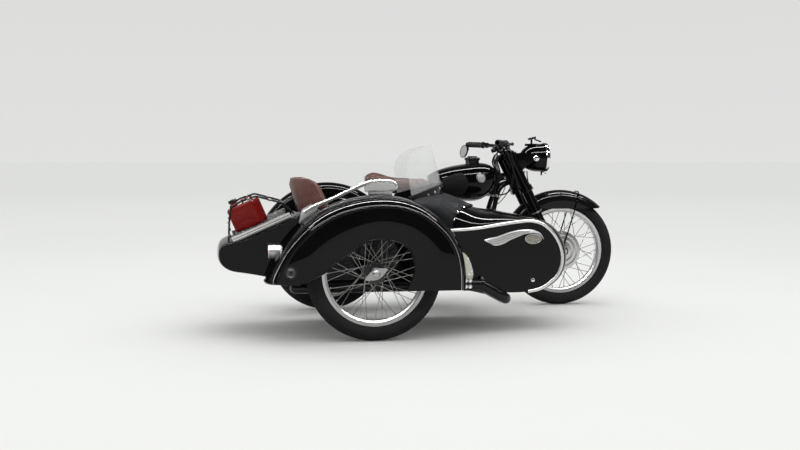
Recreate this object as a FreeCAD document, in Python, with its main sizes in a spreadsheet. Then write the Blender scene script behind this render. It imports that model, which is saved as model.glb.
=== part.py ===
import FreeCAD, Part
import os, math
import Sketcher
from FreeCAD import Vector as V, Placement, Rotation

os.makedirs("parts", exist_ok=True)
doc = FreeCAD.newDocument("sidecar_motorcycle")

# ---------------------------------------------------------------- driving dimensions (mm, kg-free, degrees)
sheet = doc.addObject("Spreadsheet::Sheet", "dims")
DIMS = [
    ("frame_cx", 553.5), ("frame_cy", -412.0),          # centre of the machine's footprint, seen from the rear axle
    ("wheelbase", 1400.0), ("axle_height", 327.0),
    ("tyre_radius", 327.0), ("tyre_half", 46.0), ("bead_radius", 243.4),
    ("rim_radius", 255.0), ("rim_half", 33.5), ("rim_inner", 230.0),
    ("axle_r", 10.0), ("hub_bore", 10.06), ("stub_r", 12.0), ("stub_bore", 12.06),
    ("drum_radius", 112.0), ("spoke_r", 1.7),
    ("side_x", 130.0), ("side_y", -1146.0),
    ("rake", 26.2), ("head_x", 1180.0), ("head_z", 600.0),
    ("fork_u", 31.0), ("fork_v", 98.0), ("cover_r", 30.0), ("slider_r", 23.0),
    ("stem_r", 15.0), ("head_bore", 15.06), ("head_r", 28.0),
    ("bar_r", 11.0), ("grip_r", 15.5), ("end_bore", 8.0),
    ("lamp_z", 880.0), ("lamp_x", 1312.0), ("lamp_r", 85.0),
    ("tube_main", 14.0), ("tube_top", 20.0), ("rail_y", 100.0), ("plunger_y", 102.0),
    ("engine_front", 850.0), ("engine_rear", 590.0), ("engine_top", 430.0), ("engine_low", 190.0), ("engine_half", 78.0),
    ("gear_rear", 420.0), ("gear_half", 66.0), ("gear_low", 215.0), ("gear_top", 400.0),
    ("cyl_z", 335.0), ("cyl_x", 705.0), ("cyl_core", 50.0), ("cyl_fin", 78.0), ("head_end", 376.0),
    ("front_fender_r", 362.0), ("front_fender_half", 66.0),
    ("rear_fender_r", 412.0), ("rear_fender_half", 72.0),
    ("side_centre", -707.5), ("side_half", 277.5), ("wall", 12.0),
    ("chassis_r", 27.0), ("chassis_y", -1015.0), ("chassis_z", 246.0), ("inner_y", -425.0), ("inner_z", 172.0),
    ("fender_in", -1050.0), ("fender_out", -1232.0), ("sheet_t", 3.0),
    ("stand_x", 330.0), ("stand_z", 150.0), ("stand_len", 185.0), ("stand_y", 68.0),
    ("battery_w", 72.0), ("battery_l", 100.0), ("battery_t", 150.0),
    ("can_w", 160.0), ("can_d", 90.0), ("can_t", 125.0),
    ("deck_slope", 23.5),
]
D = {}
for row, (alias, value) in enumerate(DIMS, start=1):
    sheet.set("A%d" % row, alias)
    sheet.set("B%d" % row, repr(value))
    sheet.setAlias("B%d" % row, alias)
doc.recompute()
D = {alias: float(getattr(sheet, alias)) for alias, _ in DIMS}

OFF = V(-D["frame_cx"], -D["frame_cy"], 0)
PARTS = []          # (label, object)
RAW = {}            # shapes as seen from the rear axle


def keep(obj, label):
    obj.Label = label
    PARTS.append((label, obj))
    return obj


def feature(label, shape):
    """A piece whose shape is built from curves; its Placement carries it to the row's origin."""
    if isinstance(shape, (list, tuple)):
        shape = Part.makeCompound([solid_of(x) for x in shape])
    else:
        shape = solid_of(shape)
    RAW[label] = shape
    o = doc.addObject("Part::Feature", label)
    o.Shape = shape
    o.Placement = Placement(OFF, Rotation()).multiply(shape.Placement)
    return keep(o, label)


def solid_of(shape):
    if shape.ShapeType == "Solid":
        return shape
    if len(shape.Solids) == 1:
        return shape.Solids[0]
    return shape


# ---------------------------------------------------------------- shape helpers
def circle_wire(p, n, r):
    return Part.Wire(Part.Circle(p, n, r).toShape())


def route(points, radius=None):
    """Straight runs joined by tangent arcs."""
    pts = [V(*p) for p in points]
    edges = []
    last = pts[0]
    for i in range(1, len(pts) - 1):
        a, b, c = pts[i - 1], pts[i], pts[i + 1]
        d1 = (b - a).normalize()
        d2 = (c - b).normalize()
        ang = d1.getAngle(d2)
        if ang < 0.01:
            continue
        run = min((b - a).Length, (c - b).Length)
        r = 0.45 * run / math.tan(ang / 2)
        if radius:
            r = min(r, radius)
        t = r * math.tan(ang / 2)
        s, e = b - d1 * t, b + d2 * t
        nrm = (d2 - d1).normalize()
        centre = b + nrm * (r / math.cos(ang / 2))
        mid = centre - nrm * r
        if (s - last).Length > 1e-6:
            edges.append(Part.LineSegment(last, s).toShape())
        edges.append(Part.Arc(s, mid, e).toShape())
        last = e
    edges.append(Part.LineSegment(last, pts[-1]).toShape())
    return Part.Wire(edges)


def tube(points, r, radius=None):
    w = route(points, radius)
    start = V(*points[0])
    d = (V(*points[1]) - start).normalize()
    return solid_of(w.makePipeShell([circle_wire(start, d, r)], True, False))


def rod(a, b, r):
    a, b = V(*a), V(*b)
    return Part.makeCylinder(r, (b - a).Length, a, b - a)


def ball(p, r):
    return Part.makeSphere(r, V(*p))


def block(x0, x1, y0, y1, z0, z1, fillet=0):
    s = Part.makeBox(x1 - x0, y1 - y0, z1 - z0, V(x0, y0, z0))
    return s.makeFillet(fillet, s.Edges) if fillet else s


def fuse(shapes):
    s = shapes[0].multiFuse(shapes[1:])
    return solid_of(s)


def spline(pts, closed=False):
    c = Part.BSplineCurve()
    c.interpolate(pts, PeriodicFlag=closed)
    return c.toShape()


def poly(pts):
    return Part.makePolygon([V(*p) for p in pts] + [V(*pts[0])])


def prism_y(xz, y0, y1, smooth=False):
    """Side outline in XZ carried from y0 to y1."""
    if smooth:
        w = Part.Wire(spline([V(x, y0, z) for x, z in xz], True))
    else:
        w = poly([(x, y0, z) for x, z in xz])
    return solid_of(Part.Face(w).extrude(V(0, y1 - y0, 0)))


def prism_z(xy, z0, z1, smooth=False):
    if smooth:
        w = Part.Wire(spline([V(x, y, z0) for x, y in xy], True))
    else:
        w = poly([(x, y, z0) for x, y in xy])
    return solid_of(Part.Face(w).extrude(V(0, 0, z1 - z0)))


def revolve_y(profile, centre, angle=360):
    """Profile of (y, r) points, turned about the line along Y through centre."""
    pts = [(centre[0], centre[1] + y, centre[2] + r) for y, r in profile]
    return solid_of(Part.Face(poly(pts)).revolve(V(*centre), V(0, 1, 0), angle))


def turned_x(profile, centre):
    """Profile of (x, r) points, turned about the line along X through centre."""
    pts = [(x, centre[1], centre[2] + r) for x, r in profile]
    return solid_of(Part.Face(poly(pts)).revolve(V(*centre), V(1, 0, 0), 360))


def arc_pts(cx, cz, r, a0, a1, n):
    return [(cx + r * math.cos(math.radians(a0 + (a1 - a0) * i / n)),
             cz + r * math.sin(math.radians(a0 + (a1 - a0) * i / n))) for i in range(n + 1)]


# ---------------------------------------------------------------- sketch helpers
def plane_of(body, role):
    for f in body.Origin.OriginFeatures:
        if getattr(f, "Role", "") == role:
            return f
    return [f for f in body.Origin.OriginFeatures if role in f.Name][0]


def outline(body, name, plane, points):
    """A closed outline whose corners are held by dimensions from the sheet. Each corner is a pair of formulas."""
    sk = body.newObject("Sketcher::SketchObject", name)
    sk.AttachmentSupport = [(plane_of(body, plane), "")]
    sk.MapMode = "FlatFace"
    vals = []
    for ex, ez in points:
        vals.append((value_of(ex), value_of(ez)))
    n = len(vals)
    for i in range(n):
        a, b = vals[i], vals[(i + 1) % n]
        sk.addGeometry(Part.LineSegment(V(a[0], a[1], 0), V(b[0], b[1], 0)), False)
    for i in range(n):
        sk.addConstraint(Sketcher.Constraint("Coincident", i, 2, (i + 1) % n, 1))
    for i, (ex, ez) in enumerate(points):
        for kind, f, v in (("DistanceX", ex, vals[i][0]), ("DistanceY", ez, vals[i][1])):
            if abs(v) < 1e-9:
                sk.addConstraint(Sketcher.Constraint("PointOnObject", i, 1, -2 if kind == "DistanceX" else -1))
                continue
            if v > 0:
                c = sk.addConstraint(Sketcher.Constraint(kind, -1, 1, i, 1, v))
                text = str(f)
            else:
                c = sk.addConstraint(Sketcher.Constraint(kind, i, 1, -1, 1, -v))
                text = "-(%s)" % f
            cn = "p%d%s" % (i, kind[-1].lower())
            sk.renameConstraint(c, cn)
            if isinstance(f, str):
                sk.setExpression("Constraints." + cn, text)
    return sk


def value_of(f):
    if isinstance(f, str):
        words = f
        for a in sorted(D, key=len, reverse=True):
            words = words.replace("dims." + a, repr(D[a]))
        total = 0.0
        for term in words.replace("-", "+-").split("+"):
            term = term.strip()
            if not term or term == "-":
                continue
            term = term.replace("- ", "-")
            prod = 1.0
            for k, fac in enumerate(term.split("*")):
                prod *= float(fac.replace(" ", ""))
            total += prod
        return total
    return float(f)


def body_at(label, x, y, z, rot=None):
    b = doc.addObject("PartDesign::Body", label)
    b.Placement = Placement(OFF + V(x, y, z), rot or Rotation())
    return keep(b, label)


# ---------------------------------------------------------------- wheels
AX_Z = D["axle_height"]


def tyre(label, x, y):
    """Round-shouldered tyre: flat on the bead seat, bulging walls, a crown."""
    R, h, b = D["tyre_radius"], D["tyre_half"], D["bead_radius"]
    p = [V(0, -28.6, b), V(0, 28.6, b), V(0, 30.3, 252), V(0, 31.8, 257), V(0, h, 286), V(0, 37.5, 311), V(0, 0, R),
         V(0, -37.5, 311), V(0, -h, 286), V(0, -31.8, 257), V(0, -30.3, 252)]
    e = [Part.LineSegment(p[0], p[1]).toShape(), Part.LineSegment(p[1], p[2]).toShape(), Part.LineSegment(p[2], p[3]).toShape(),
         Part.Arc(p[3], p[4], p[5]).toShape(), Part.Arc(p[5], p[6], p[7]).toShape(), Part.Arc(p[7], p[8], p[9]).toShape(),
         Part.LineSegment(p[9], p[10]).toShape(), Part.LineSegment(p[10], p[0]).toShape()]
    s = Part.Face(Part.Wire(e)).revolve(V(0, 0, 0), V(0, 1, 0), 360)
    s = solid_of(s)
    s.translate(V(x, y, AX_Z))
    feature(label, s)


def rim(label, x, y):
    """Drop-centre rim, a sketch turned about the axle. Sketch X is the row's Y, sketch Y is the radius."""
    b = body_at(label, x, y, AX_Z, Rotation(V(0, 0, 1), 90))
    sk = outline(b, label + "_section", "XZ_Plane", [
        ("dims.rim_half", "dims.rim_radius"), ("dims.rim_half - 2.3", "dims.rim_radius"), (29, "dims.bead_radius - 0.4"),
        (20, "dims.bead_radius - 2.4"), (13, "dims.rim_inner + 3"), (-13, "dims.rim_inner + 3"),
        (-20, "dims.bead_radius - 2.4"), (-29, "dims.bead_radius - 0.4"), ("-dims.rim_half + 2.3", "dims.rim_radius"),
        ("-dims.rim_half", "dims.rim_radius"), (-32, 241), (-21.5, 238.4), (-15, "dims.rim_inner"), (15, "dims.rim_inner"),
        (21.5, 238.4), (32, 241)])
    rv = b.newObject("PartDesign::Revolution", label + "_turn")
    rv.Profile = sk
    rv.ReferenceAxis = (sk, ["H_Axis"])
    rv.Angle = 360
    doc.recompute()
    return b


def spokes(x, y, sides):
    """sides: (flange radius, flange y outer, flange y inner, rim y, angle) for each side; ten pairs in all directions."""
    out = []
    k = 0
    for rf, yo, yi, yr, swing, phase in sides:
        for j, (yf, sgn, ph) in enumerate(((yo, 1, 0.0), (yi, -1, 18.0))):
            for i in range(10):
                end = math.radians(phase + ph + 36 * i)
                st = end - sgn * math.radians(swing)
                a = V(x + rf * math.cos(st), y + yf, AX_Z + rf * math.sin(st))
                q = V(x + 231.2 * math.cos(end), y + yr, AX_Z + 231.2 * math.sin(end))
                out.append(Part.makeCylinder(D["spoke_r"], (q - a).Length, a, q - a))
    return out


def hub_plain(x, y, bore, cap):
    """Sidecar hub: barrel, two flanges, a capped outer end held by a two-eared nut."""
    prof = [(-44, bore), (-44, 34), (-41, 52), (-30, 52), (-26, 33), (26, 33), (30, 52), (41, 52), (44, 30), (60, 26), (60, bore)]
    s = revolve_y(prof, (x, y, AX_Z))
    if cap:
        nose = revolve_y([(-44, bore), (-44, 32), (-58, 30), (-64, 22), (-64, bore)], (x, y, AX_Z))
        nut = Part.makeCylinder(25, 16, V(x, y - 80, AX_Z), V(0, 1, 0))
        ears = prism_y([(x - 57, AX_Z - 5), (x - 20, AX_Z - 22), (x + 20, AX_Z - 22), (x + 57, AX_Z - 5), (x + 57, AX_Z + 5), (x + 20, AX_Z + 22), (x - 20, AX_Z + 22), (x - 57, AX_Z + 5)], y - 78, y - 66)
        ears.rotate(V(x, y, AX_Z), V(0, 1, 0), -25)
        tip = Part.makeCone(20, 12, 8, V(x, y - 80, AX_Z), V(0, -1, 0))
        s = fuse([s, nose, nut, ears, tip])
        s = solid_of(s.cut(Part.makeCylinder(bore, 140, V(x, y - 62, AX_Z), V(0, 1, 0))))
    return s


def hub_drum(x, y):
    b = D["hub_bore"]
    R = D["drum_radius"]
    prof = [(-56, b), (-56, 100), (-57, R - 6), (-57, R), (-50, R + 4), (-46, R + 4), (-44, R - 2), (-24, R - 4), (-18, R + 2), (-14, R + 2),
            (-11, R - 8), (-8, 60), (0, 36), (26, 33), (30, 54), (41, 54), (44, 30), (58, 26), (58, b)]
    return revolve_y(prof, (x, y, AX_Z))


WB = D["wheelbase"]
tyre("front_tyre", WB, 0)
rim("front_rim", WB, 0)
fh = fuse([hub_drum(WB, 0)] + spokes(WB, 0, [(D["drum_radius"] + 1, -52, -12, -5, 28, 0), (48, 43, 32, 5, 62, 9)]))
feature("front_hub", fh)
tyre("rear_tyre", 0, 0)
rim("rear_rim", 0, 0)
rh = fuse([hub_drum(0, 0)] + spokes(0, 0, [(D["drum_radius"] + 1, -52, -12, -5, 28, 0), (48, 43, 32, 5, 62, 9)]))
feature("rear_hub", rh)
SX, SY = D["side_x"], D["side_y"]
tyre("sidecar_tyre", SX, SY)
rim("sidecar_rim", SX, SY)
sh = fuse([hub_plain(SX, SY, D["stub_bore"], True)] + spokes(SX, SY, [(47, -43, -28, -5, 62, 0), (47, 43, 28, 5, 62, 9)]))
feature("sidecar_hub", sh)
print("wheels")

# ---------------------------------------------------------------- steering: everything is drawn upright and leaned back by the rake
RAKE = math.radians(D["rake"])
LEAN = Placement(V(D["head_x"], 0, D["head_z"]), Rotation(V(0, 1, 0), -D["rake"]))


def lean(shape):
    s = shape.copy()
    s.Placement = LEAN.multiply(s.Placement)
    return s


def local(x, z):
    """Row X, Z to the leaned frame's u, w."""
    dx, dz = x - D["head_x"], z - D["head_z"]
    return dx * math.cos(RAKE) + dz * math.sin(RAKE), -dx * math.sin(RAKE) + dz * math.cos(RAKE)


def world(u, v, w):
    return (D["head_x"] + u * math.cos(RAKE) - w * math.sin(RAKE), v, D["head_z"] + u * math.sin(RAKE) + w * math.cos(RAKE))


FU, FV = D["fork_u"], D["fork_v"]
au, aw = local(WB, AX_Z)


def fork_leg(s):
    cover = Part.makeCylinder(D["cover_r"], 392, V(FU, s * FV, -60))
    cap = Part.makeCone(D["cover_r"] - 4, 14, 12, V(FU, s * FV, 332))
    collar = Part.makeCylinder(D["cover_r"] + 2, 26, V(FU, s * FV, -64))
    slider = Part.makeCylinder(D["slider_r"], 300, V(FU, s * FV, -356))
    foot = Part.makeBox(au - FU + 4, 30, 46, V(FU, s * FV - 15, aw - 23))
    eye = Part.makeCylinder(24, 34, V(au, s * FV - 17, aw), V(0, 1, 0))
    leg = [lean(q) for q in (cover, cap, collar, slider, foot, eye)]
    # lamp ear: part of the upper cover
    y0 = min(s * 88.5, s * 94.5)
    ear = prism_y([(1084, 905), (1150, 911), (1216, 905), (1246, 896), (1252, 879), (1240, 863), (1205, 855), (1172, 834), (1146, 804), (1112, 804)], y0, y0 + 6)
    boss = rod((1230, s * 77, 879), (1230, s * 94, 879), 16)
    leg += [ear, boss]
    f = fuse(leg)
    return solid_of(f.cut(Part.makeCylinder(D["axle_r"], 300, V(WB, -150, AX_Z), V(0, 1, 0))))


feature("fork_legs", [fork_leg(-1), fork_leg(1)])


def yoke(w0, thick, r):
    """Plate with three eyes: the stem and the two legs."""
    pts = [(-36, -22), (-36, 22), (-8, 60), (FU - 30, FV - 10), (FU + 34, FV - 10), (FU + 20, FV - 40),
           (FU + 8, 0), (FU + 20, -FV + 40), (FU + 34, -FV + 10), (FU - 30, -FV + 10), (-8, -60)]
    w = poly([(a, b, w0) for a, b in pts])
    p = Part.Face(w).extrude(V(0, 0, thick))
    return p.multiFuse([Part.makeCylinder(D["cover_r"] + 10, thick, V(FU, q * FV, w0)) for q in (-1, 1)])


def yokes():
    low = yoke(84, 24, 0)
    top = yoke(303, 16, 0)
    for s in (-1, 1):
        hole = Part.makeCylinder(D["cover_r"], 400, V(FU, s * FV, 0))
        low = low.cut(hole)
        top = top.cut(hole)
    stem = Part.makeCylinder(D["stem_r"], 262, V(0, 0, 90))
    nut = Part.makeCylinder(21, 14, V(0, 0, 318.5))
    neck = Part.makeCylinder(9, 20, V(0, 0, 345))
    knob = Part.makeCylinder(33, 22, V(0, 0, 362))
    dome = Part.makeCone(28, 16, 7, V(0, 0, 384))
    clamps = []
    for s in (-1, 1):
        clamps.append(Part.makeBox(30, 20, 42, V(19, s * 36 - 10, 318)))
    s = fuse([low, top, stem, nut, neck, knob, dome] + clamps)
    s = lean(s)
    return s


BAR = [(925, -370, 964), (1001, -270, 959), (1046, -160, 953), (1056, -62, 927), (1056, 62, 927), (1046, 160, 953), (1001, 270, 959), (925, 370, 964)]
bar = tube(BAR, D["bar_r"])
yk = yokes()
yk = yk.cut(tube(BAR, D["bar_r"])).cut(RAW["fork_legs"])
yk = max(yk.Solids, key=lambda q: q.Volume)
feature("steering_yokes", yk)


def levers():
    """Perch on the bar just inside each grip, with a blade that runs along in front of the grip."""
    out = []
    for s in (-1, 1):
        e0, e1 = V(1001, s * 270, 959), V(1046, s * 160, 953)
        e = (e1 - e0).normalize()
        perch = Part.makeCylinder(16, 26, e0 + e * 9, e)
        arm = rod(tuple(e0 + e * 22), (1038, s * 268, 958), 8)
        blade = tube([(1038, s * 268, 958), (1031, s * 305, 956), (992, s * 365, 957), (966, s * 400, 959)], 5.5)
        tip = ball((966, s * 400, 959), 8)
        out += [perch, arm, blade, tip, ball((1038, s * 268, 958), 10)]
    return out


hb = fuse([bar] + levers())
rd = (V(*BAR[0]) - V(*BAR[1])).normalize()
hb = hb.cut(Part.makeCylinder(D["end_bore"], 60, V(*BAR[0]) - rd * 40, rd))      # open right bar end
feature("handlebar", solid_of(hb))


def grip(s):
    a = V(925, s * 370, 964)
    b = V(1001, s * 270, 959)
    d = (b - a).normalize()
    g = Part.makeCylinder(D["grip_r"], 118, a + d * 2, d)
    g = g.fuse(Part.makeCylinder(D["grip_r"] + 4, 8, a + d * 112, d))
    g = g.cut(tube([(p[0], p[1], p[2]) for p in BAR], D["bar_r"] + 0.06)).cut(Part.makeCylinder(D["bar_r"] + 0.06, 30, a - d * 20, d))
    g = g.cut(RAW["handlebar"])
    return max(g.Solids, key=lambda q: q.Volume)


feature("grips", [grip(-1), grip(1)])

# round mirror hung from the left bar end
mc = V(896, 371, 921)
mn = V(-0.92, -0.33, 0.20).normalize()
glass = Part.makeCylinder(39, 9, mc - mn * 4.5, mn)
back = Part.makeCone(39, 20, 11, mc - mn * 4.5, mn * -1)
bd = (V(925, 370, 964) - V(1001, 270, 959)).normalize()
e0 = V(925, 370, 964) + bd * 0.5
drop = e0 + bd * 8 + V(0, 0, -30)
mir = fuse([glass, back, Part.makeCylinder(13, 14, e0, bd), rod((e0 + bd * 8), drop, 7), rod(drop, (mc - mn * 10), 4.5), ball(drop, 9)])
feature("mirror", mir)

# headlamp: bowl turned about its own axis, glass in front
lx, lz, lr = D["lamp_x"], D["lamp_z"], D["lamp_r"]
bowl = [(lx, 0), (lx, lr), (lx - 12, lr + 2), (lx - 30, lr - 1), (lx - 66, lr - 4), (lx - 100, lr - 12), (lx - 128, lr - 27), (lx - 148, lr - 48), (lx - 160, lr - 72), (lx - 163, 0)]
pts = [V(x, 0, lz + r) for x, r in bowl]
w = Part.Wire([Part.LineSegment(pts[0], pts[1]).toShape(), spline(pts[1:]), Part.LineSegment(pts[-1], pts[0]).toShape()])
shell = solid_of(Part.Face(w).revolve(V(lx, 0, lz), V(1, 0, 0), 360))
panel = Part.makeCylinder(40, 14, V(lx - 86, 0, lz + 70))
key = rod((lx - 86, 0, lz + 82), (lx - 86, 0, lz + 112), 6)
keybar = [rod((1205, 0, 991), (1252, 0, 1002), 6), rod((1246, 0, 990), (1285, 0, 976), 4.5), rod((1249, 0, 1000), (1246, 0, 988), 4)]
clip = rod((1290, 0, 804), (1287, 0, 776), 5)
shell = fuse([shell, panel, key, clip] + keybar)
for s in (-1, 1):
    shell = shell.cut(rod((1230, s * 77, 879), (1230, s * 94, 879), 16.1))
feature("headlamp_shell", solid_of(shell))
sag = 16.0
rr = lr - 5
R_ = (rr * rr + sag * sag) / (2 * sag)
dome = Part.makeSphere(R_, V(lx + sag - R_, 0, lz)).common(Part.makeCylinder(rr, 40, V(lx, 0, lz), V(1, 0, 0)))
feature("headlamp_lens", dome)


# mudguards: a U section turned about the axle, trimmed to its side outline
def guard_section(cx, r, half, deep, t):
    out = [(-half, deep), (-half, r - 62), (-half + 2, r - 44), (-half * 0.85, r - 25), (-half * 0.62, r - 12), (-half * 0.33, r - 3), (0, r)]
    outer = out + [(-a, b) for a, b in reversed(out[:-1])]
    h2 = half - t
    inn = [(-h2, deep), (-h2, r - 62), (-h2 + 2, r - 44 - t * 0.4), (-h2 * 0.85, r - 25 - t * 0.8), (-h2 * 0.62, r - 12 - t), (-h2 * 0.33, r - 3 - t), (0, r - t)]
    inner = inn + [(-a, b) for a, b in reversed(inn[:-1])]
    P3 = lambda q: V(cx, q[0], AX_Z + q[1])
    o = [P3(q) for q in outer]
    i = [P3(q) for q in inner]
    e = [Part.LineSegment(o[0], o[1]).toShape(), spline(o[1:-1]), Part.LineSegment(o[-2], o[-1]).toShape(), Part.LineSegment(o[-1], i[-1]).toShape(),
         Part.LineSegment(i[-1], i[-2]).toShape(), spline(list(reversed(i[1:-1]))), Part.LineSegment(i[1], i[0]).toShape(), Part.LineSegment(i[0], o[0]).toShape()]
    return solid_of(Part.Face(Part.Wire(e)).revolve(V(cx, 0, AX_Z), V(0, 1, 0), 360))


ff = guard_section(WB, D["front_fender_r"], D["front_fender_half"], 248, 2.5)
mask = ([(1664, 606), (1652, 588), (1628, 579), (1600, 578), (1262, 578), (1236, 590)] + arc_pts(WB, AX_Z, 318, 124, 188, 14)
        + arc_pts(WB, AX_Z, 380, 190, 46, 30))
ff = ff.common(prism_y(mask, -120, 120))
feature("front_fender", ff)


def front_stays():
    """A hoop over the guard with both ends on the fork feet, and a short rear pair."""
    a = math.radians(72.9)
    d = V(math.cos(a), 0, math.sin(a))
    c = V(WB, 0, AX_Z)
    P3 = lambda rho, y: tuple(c + d * rho + V(0, y, 0))
    hoop = tube([P3(30, -72.5), P3(200, -71.5), P3(368.5, -72.5), P3(368.5, 72.5), P3(200, 71.5), P3(30, 72.5)], 4, 58)
    out = [hoop]
    tabs = []
    for s in (-1, 1):
        tabs.append(rod((P3(30, s * 70)), (P3(30, s * 82)), 8))
    return fuse(out + tabs)


st = front_stays()
st = solid_of(st.cut(RAW["fork_legs"]))
feature("fender_stays", st)

# front axle with its brake plate
axle = rod((WB, -126, AX_Z), (WB, 126, AX_Z), D["axle_r"])
nuts = [rod((WB, s * 115.6, AX_Z), (WB, s * 124, AX_Z), 15) for s in (-1, 1)]
plate = revolve_y([(-58.5, D["axle_r"] - 1), (-58.5, 110), (-62, 111), (-64.5, 96), (-62.5, 88), (-65.5, 70), (-63, 60), (-68, 30), (-76, 22), (-76, D["axle_r"] - 1)], (WB, 0, AX_Z))
spacer = revolve_y([(61, 9), (61, 20), (79, 20), (79, 9)], (WB, 0, AX_Z))
stop = fuse([rod((1304, -63, 350), (1304, -78, 350), 9), rod((1304, -71, 350), (1298, -71, 376), 7)])
fa = fuse([axle, plate, spacer, stop] + nuts).cut(st).cut(RAW["fork_legs"])
feature("front_axle", max(fa.Solids, key=lambda q: q.Volume))

# front brake cable: from the right lever down behind the right fork cover to the brake plate
CAB = [(1012, -250, 936), (1016, -236, 912), (1030, -216, 882), (1050, -192, 850), (1070, -166, 815), (1092, -142, 772), (1110, -118, 712), (1138, -104, 650),
       (1168, -98, 592), (1200, -92, 530), (1240, -86, 470), (1270, -78, 420), (1299, -71, 372)]
cw_ = route(CAB)
cd_ = (V(*CAB[1]) - V(*CAB[0])).normalize()
cab = solid_of(cw_.makePipeShell([circle_wire(V(*CAB[0]), cd_, 3.0)], True, False))
radii = [round(e.Curve.Radius, 1) for e in cw_.Edges if e.Curve.TypeId == "Part::GeomCircle"]
print("brake cable radii", radii, "length", round(cw_.Length, 1), "volume ratio", round(cab.Volume / (math.pi * 9 * cw_.Length), 4))
cab = cab.cut(RAW["front_axle"]).cut(RAW["handlebar"])
cab = max(cab.Solids, key=lambda q: q.Volume)
feature("brake_cable", cab)
print("steering")

# ---------------------------------------------------------------- frame
RY, TM = D["rail_y"], D["tube_main"]
PY = D["plunger_y"]
head = lean(Part.makeCylinder(D["head_r"], 190, V(0, 0, 110.5)))
fr = [head]
for s in (-1, 1):
    fr.append(tube([(1112, s * 12, 745), (1022, s * 38, 712), (985, s * 66, 600), (942, s * 90, 400), (905, s * RY, 170), (120, s * RY, 165), (8, s * PY, 222)], TM))
    fr.append(tube([(640, s * 10, 684), (440, s * 58, 632), (160, s * 98, 540), (6, s * PY, 452)], TM - 1))
    fr.append(tube([(480, s * 12, 640), (462, s * 84, 470), (430, s * (RY - 1), 172)], TM - 2))
    fr.append(Part.makeCylinder(25, 34, V(0, s * PY, 436)))
    fr.append(Part.makeCylinder(25, 30, V(0, s * PY, 196)))
    fr.append(block(300, 360, s * 92 - 10, s * 92 + 10, 138, 160))
fr.append(rod((1092, 0, 779), (600, 0, 682), D["tube_top"]))
fr.append(rod((620, 0, 686), (470, 0, 640), D["tube_top"] - 2))
fr.append(rod((868, -RY, 170), (868, RY, 170), 12))
fr.append(rod((385, -RY, 168), (385, RY, 168), 12))
fr.append(rod((440, -58, 632), (440, 58, 632), 10))
fr.append(rod((1000, -52, 655), (1000, 52, 655), 9))
frame = fuse(fr)
bore = lean(Part.makeCylinder(D["head_bore"], 260, V(0, 0, 80)))
frame = frame.cut(bore)
for s in (-1, 1):
    frame = frame.cut(Part.makeCylinder(9.0, 300, V(0, s * PY, 180)))
    frame = frame.cut(Part.makeCylinder(25.4, 206.3, V(0, s * PY, 229.7)))
    frame = frame.cut(rod((D["stand_x"], s * 60, D["stand_z"] - 0), (D["stand_x"], s * 120, D["stand_z"]), 6.06))
feature("frame", solid_of(frame))

# plunger units: rod, two spring covers, a block that clamps the axle
def plunger(s):
    c = V(0, s * PY, 0)
    rodp = Part.makeCylinder(9.0, 262, c + V(0, 0, 204))
    up = Part.makeCylinder(25, 74, c + V(0, 0, 356))
    lo = Part.makeCylinder(25, 58, c + V(0, 0, 230))
    mid = Part.makeCylinder(20, 70, c + V(0, 0, 287))
    eye = Part.makeCylinder(24, 44, c + V(0, -22, AX_Z), V(0, 1, 0))
    f = fuse([rodp, up, lo, mid, eye])
    return solid_of(f.cut(rod((0, -200, AX_Z), (0, 200, AX_Z), D["axle_r"])))


ra = fuse([plunger(-1), plunger(1), rod((0, -142, AX_Z), (0, 142, AX_Z), D["axle_r"]), rod((0, -140, AX_Z), (0, -126, AX_Z), 17), rod((0, 126, AX_Z), (0, 140, AX_Z), 17),
           revolve_y([(60, 9), (60, 20), (79, 20), (79, 9)], (0, 0, AX_Z))])
feature("rear_axle", ra)      # the axle with the two plunger units that carry it

# final drive on the right of the wheel, with the shaft tube
house = revolve_y([(-59, 10), (-59, 84), (-66, 88), (-74, 84), (-76, 60), (-76, 10)], (0, 0, AX_Z))
nose = Part.makeCone(36, 22, 110, V(30, -70, AX_Z), V(1, 0, 0))
shaft = rod((90, -72, AX_Z), (419.8, -72, AX_Z), 15)
boot = rod((386, -72, AX_Z), (419.8, -72, AX_Z), 26)
fd = fuse([house, nose, shaft, boot])
fd = fd.cut(block(-60, 340, -59, 0, 200, 460))
fd = fd.cut(rod((0, -200, AX_Z), (0, 200, AX_Z), D["axle_r"]))
fd = fd.cut(Part.makeCylinder(25.5, 300, V(0, -PY, 200)))
fd = fd.cut(rod((0, -80, AX_Z), (0, -140, AX_Z), 24.5))
feature("final_drive", solid_of(fd))
print("frame")

# ---------------------------------------------------------------- engine and gearbox, one bolted block
eb = body_at("engine_block", 0, 0, 0)
sk = outline(eb, "crankcase_side", "XZ_Plane", [
    ("dims.engine_rear", "dims.engine_low"), ("dims.engine_front - 30", "dims.engine_low - 4"), ("dims.engine_front", "dims.engine_low + 40"),
    ("dims.engine_front", "dims.engine_top - 60"), ("dims.engine_front - 40", "dims.engine_top"), ("dims.engine_rear + 30", "dims.engine_top"),
    ("dims.engine_rear", "dims.engine_top - 20")])
pad = eb.newObject("PartDesign::Pad", "crankcase")
pad.Profile = sk
pad.Length = 2 * D["engine_half"]
pad.setExpression("Length", "2 * dims.engine_half")
pad.Midplane = True
doc.recompute()
sk2 = outline(eb, "gearbox_side", "XZ_Plane", [
    ("dims.gear_rear", "dims.gear_low + 40"), ("dims.gear_rear + 30", "dims.gear_low"), ("dims.engine_rear + 4", "dims.gear_low"),
    ("dims.engine_rear + 4", "dims.gear_top"), ("dims.gear_rear + 24", "dims.gear_top - 16"), ("dims.gear_rear", "dims.gear_top - 50")])
pad2 = eb.newObject("PartDesign::Pad", "gearbox")
pad2.Profile = sk2
pad2.Length = 2 * D["gear_half"]
pad2.setExpression("Length", "2 * dims.gear_half")
pad2.Midplane = True
doc.recompute()
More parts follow.
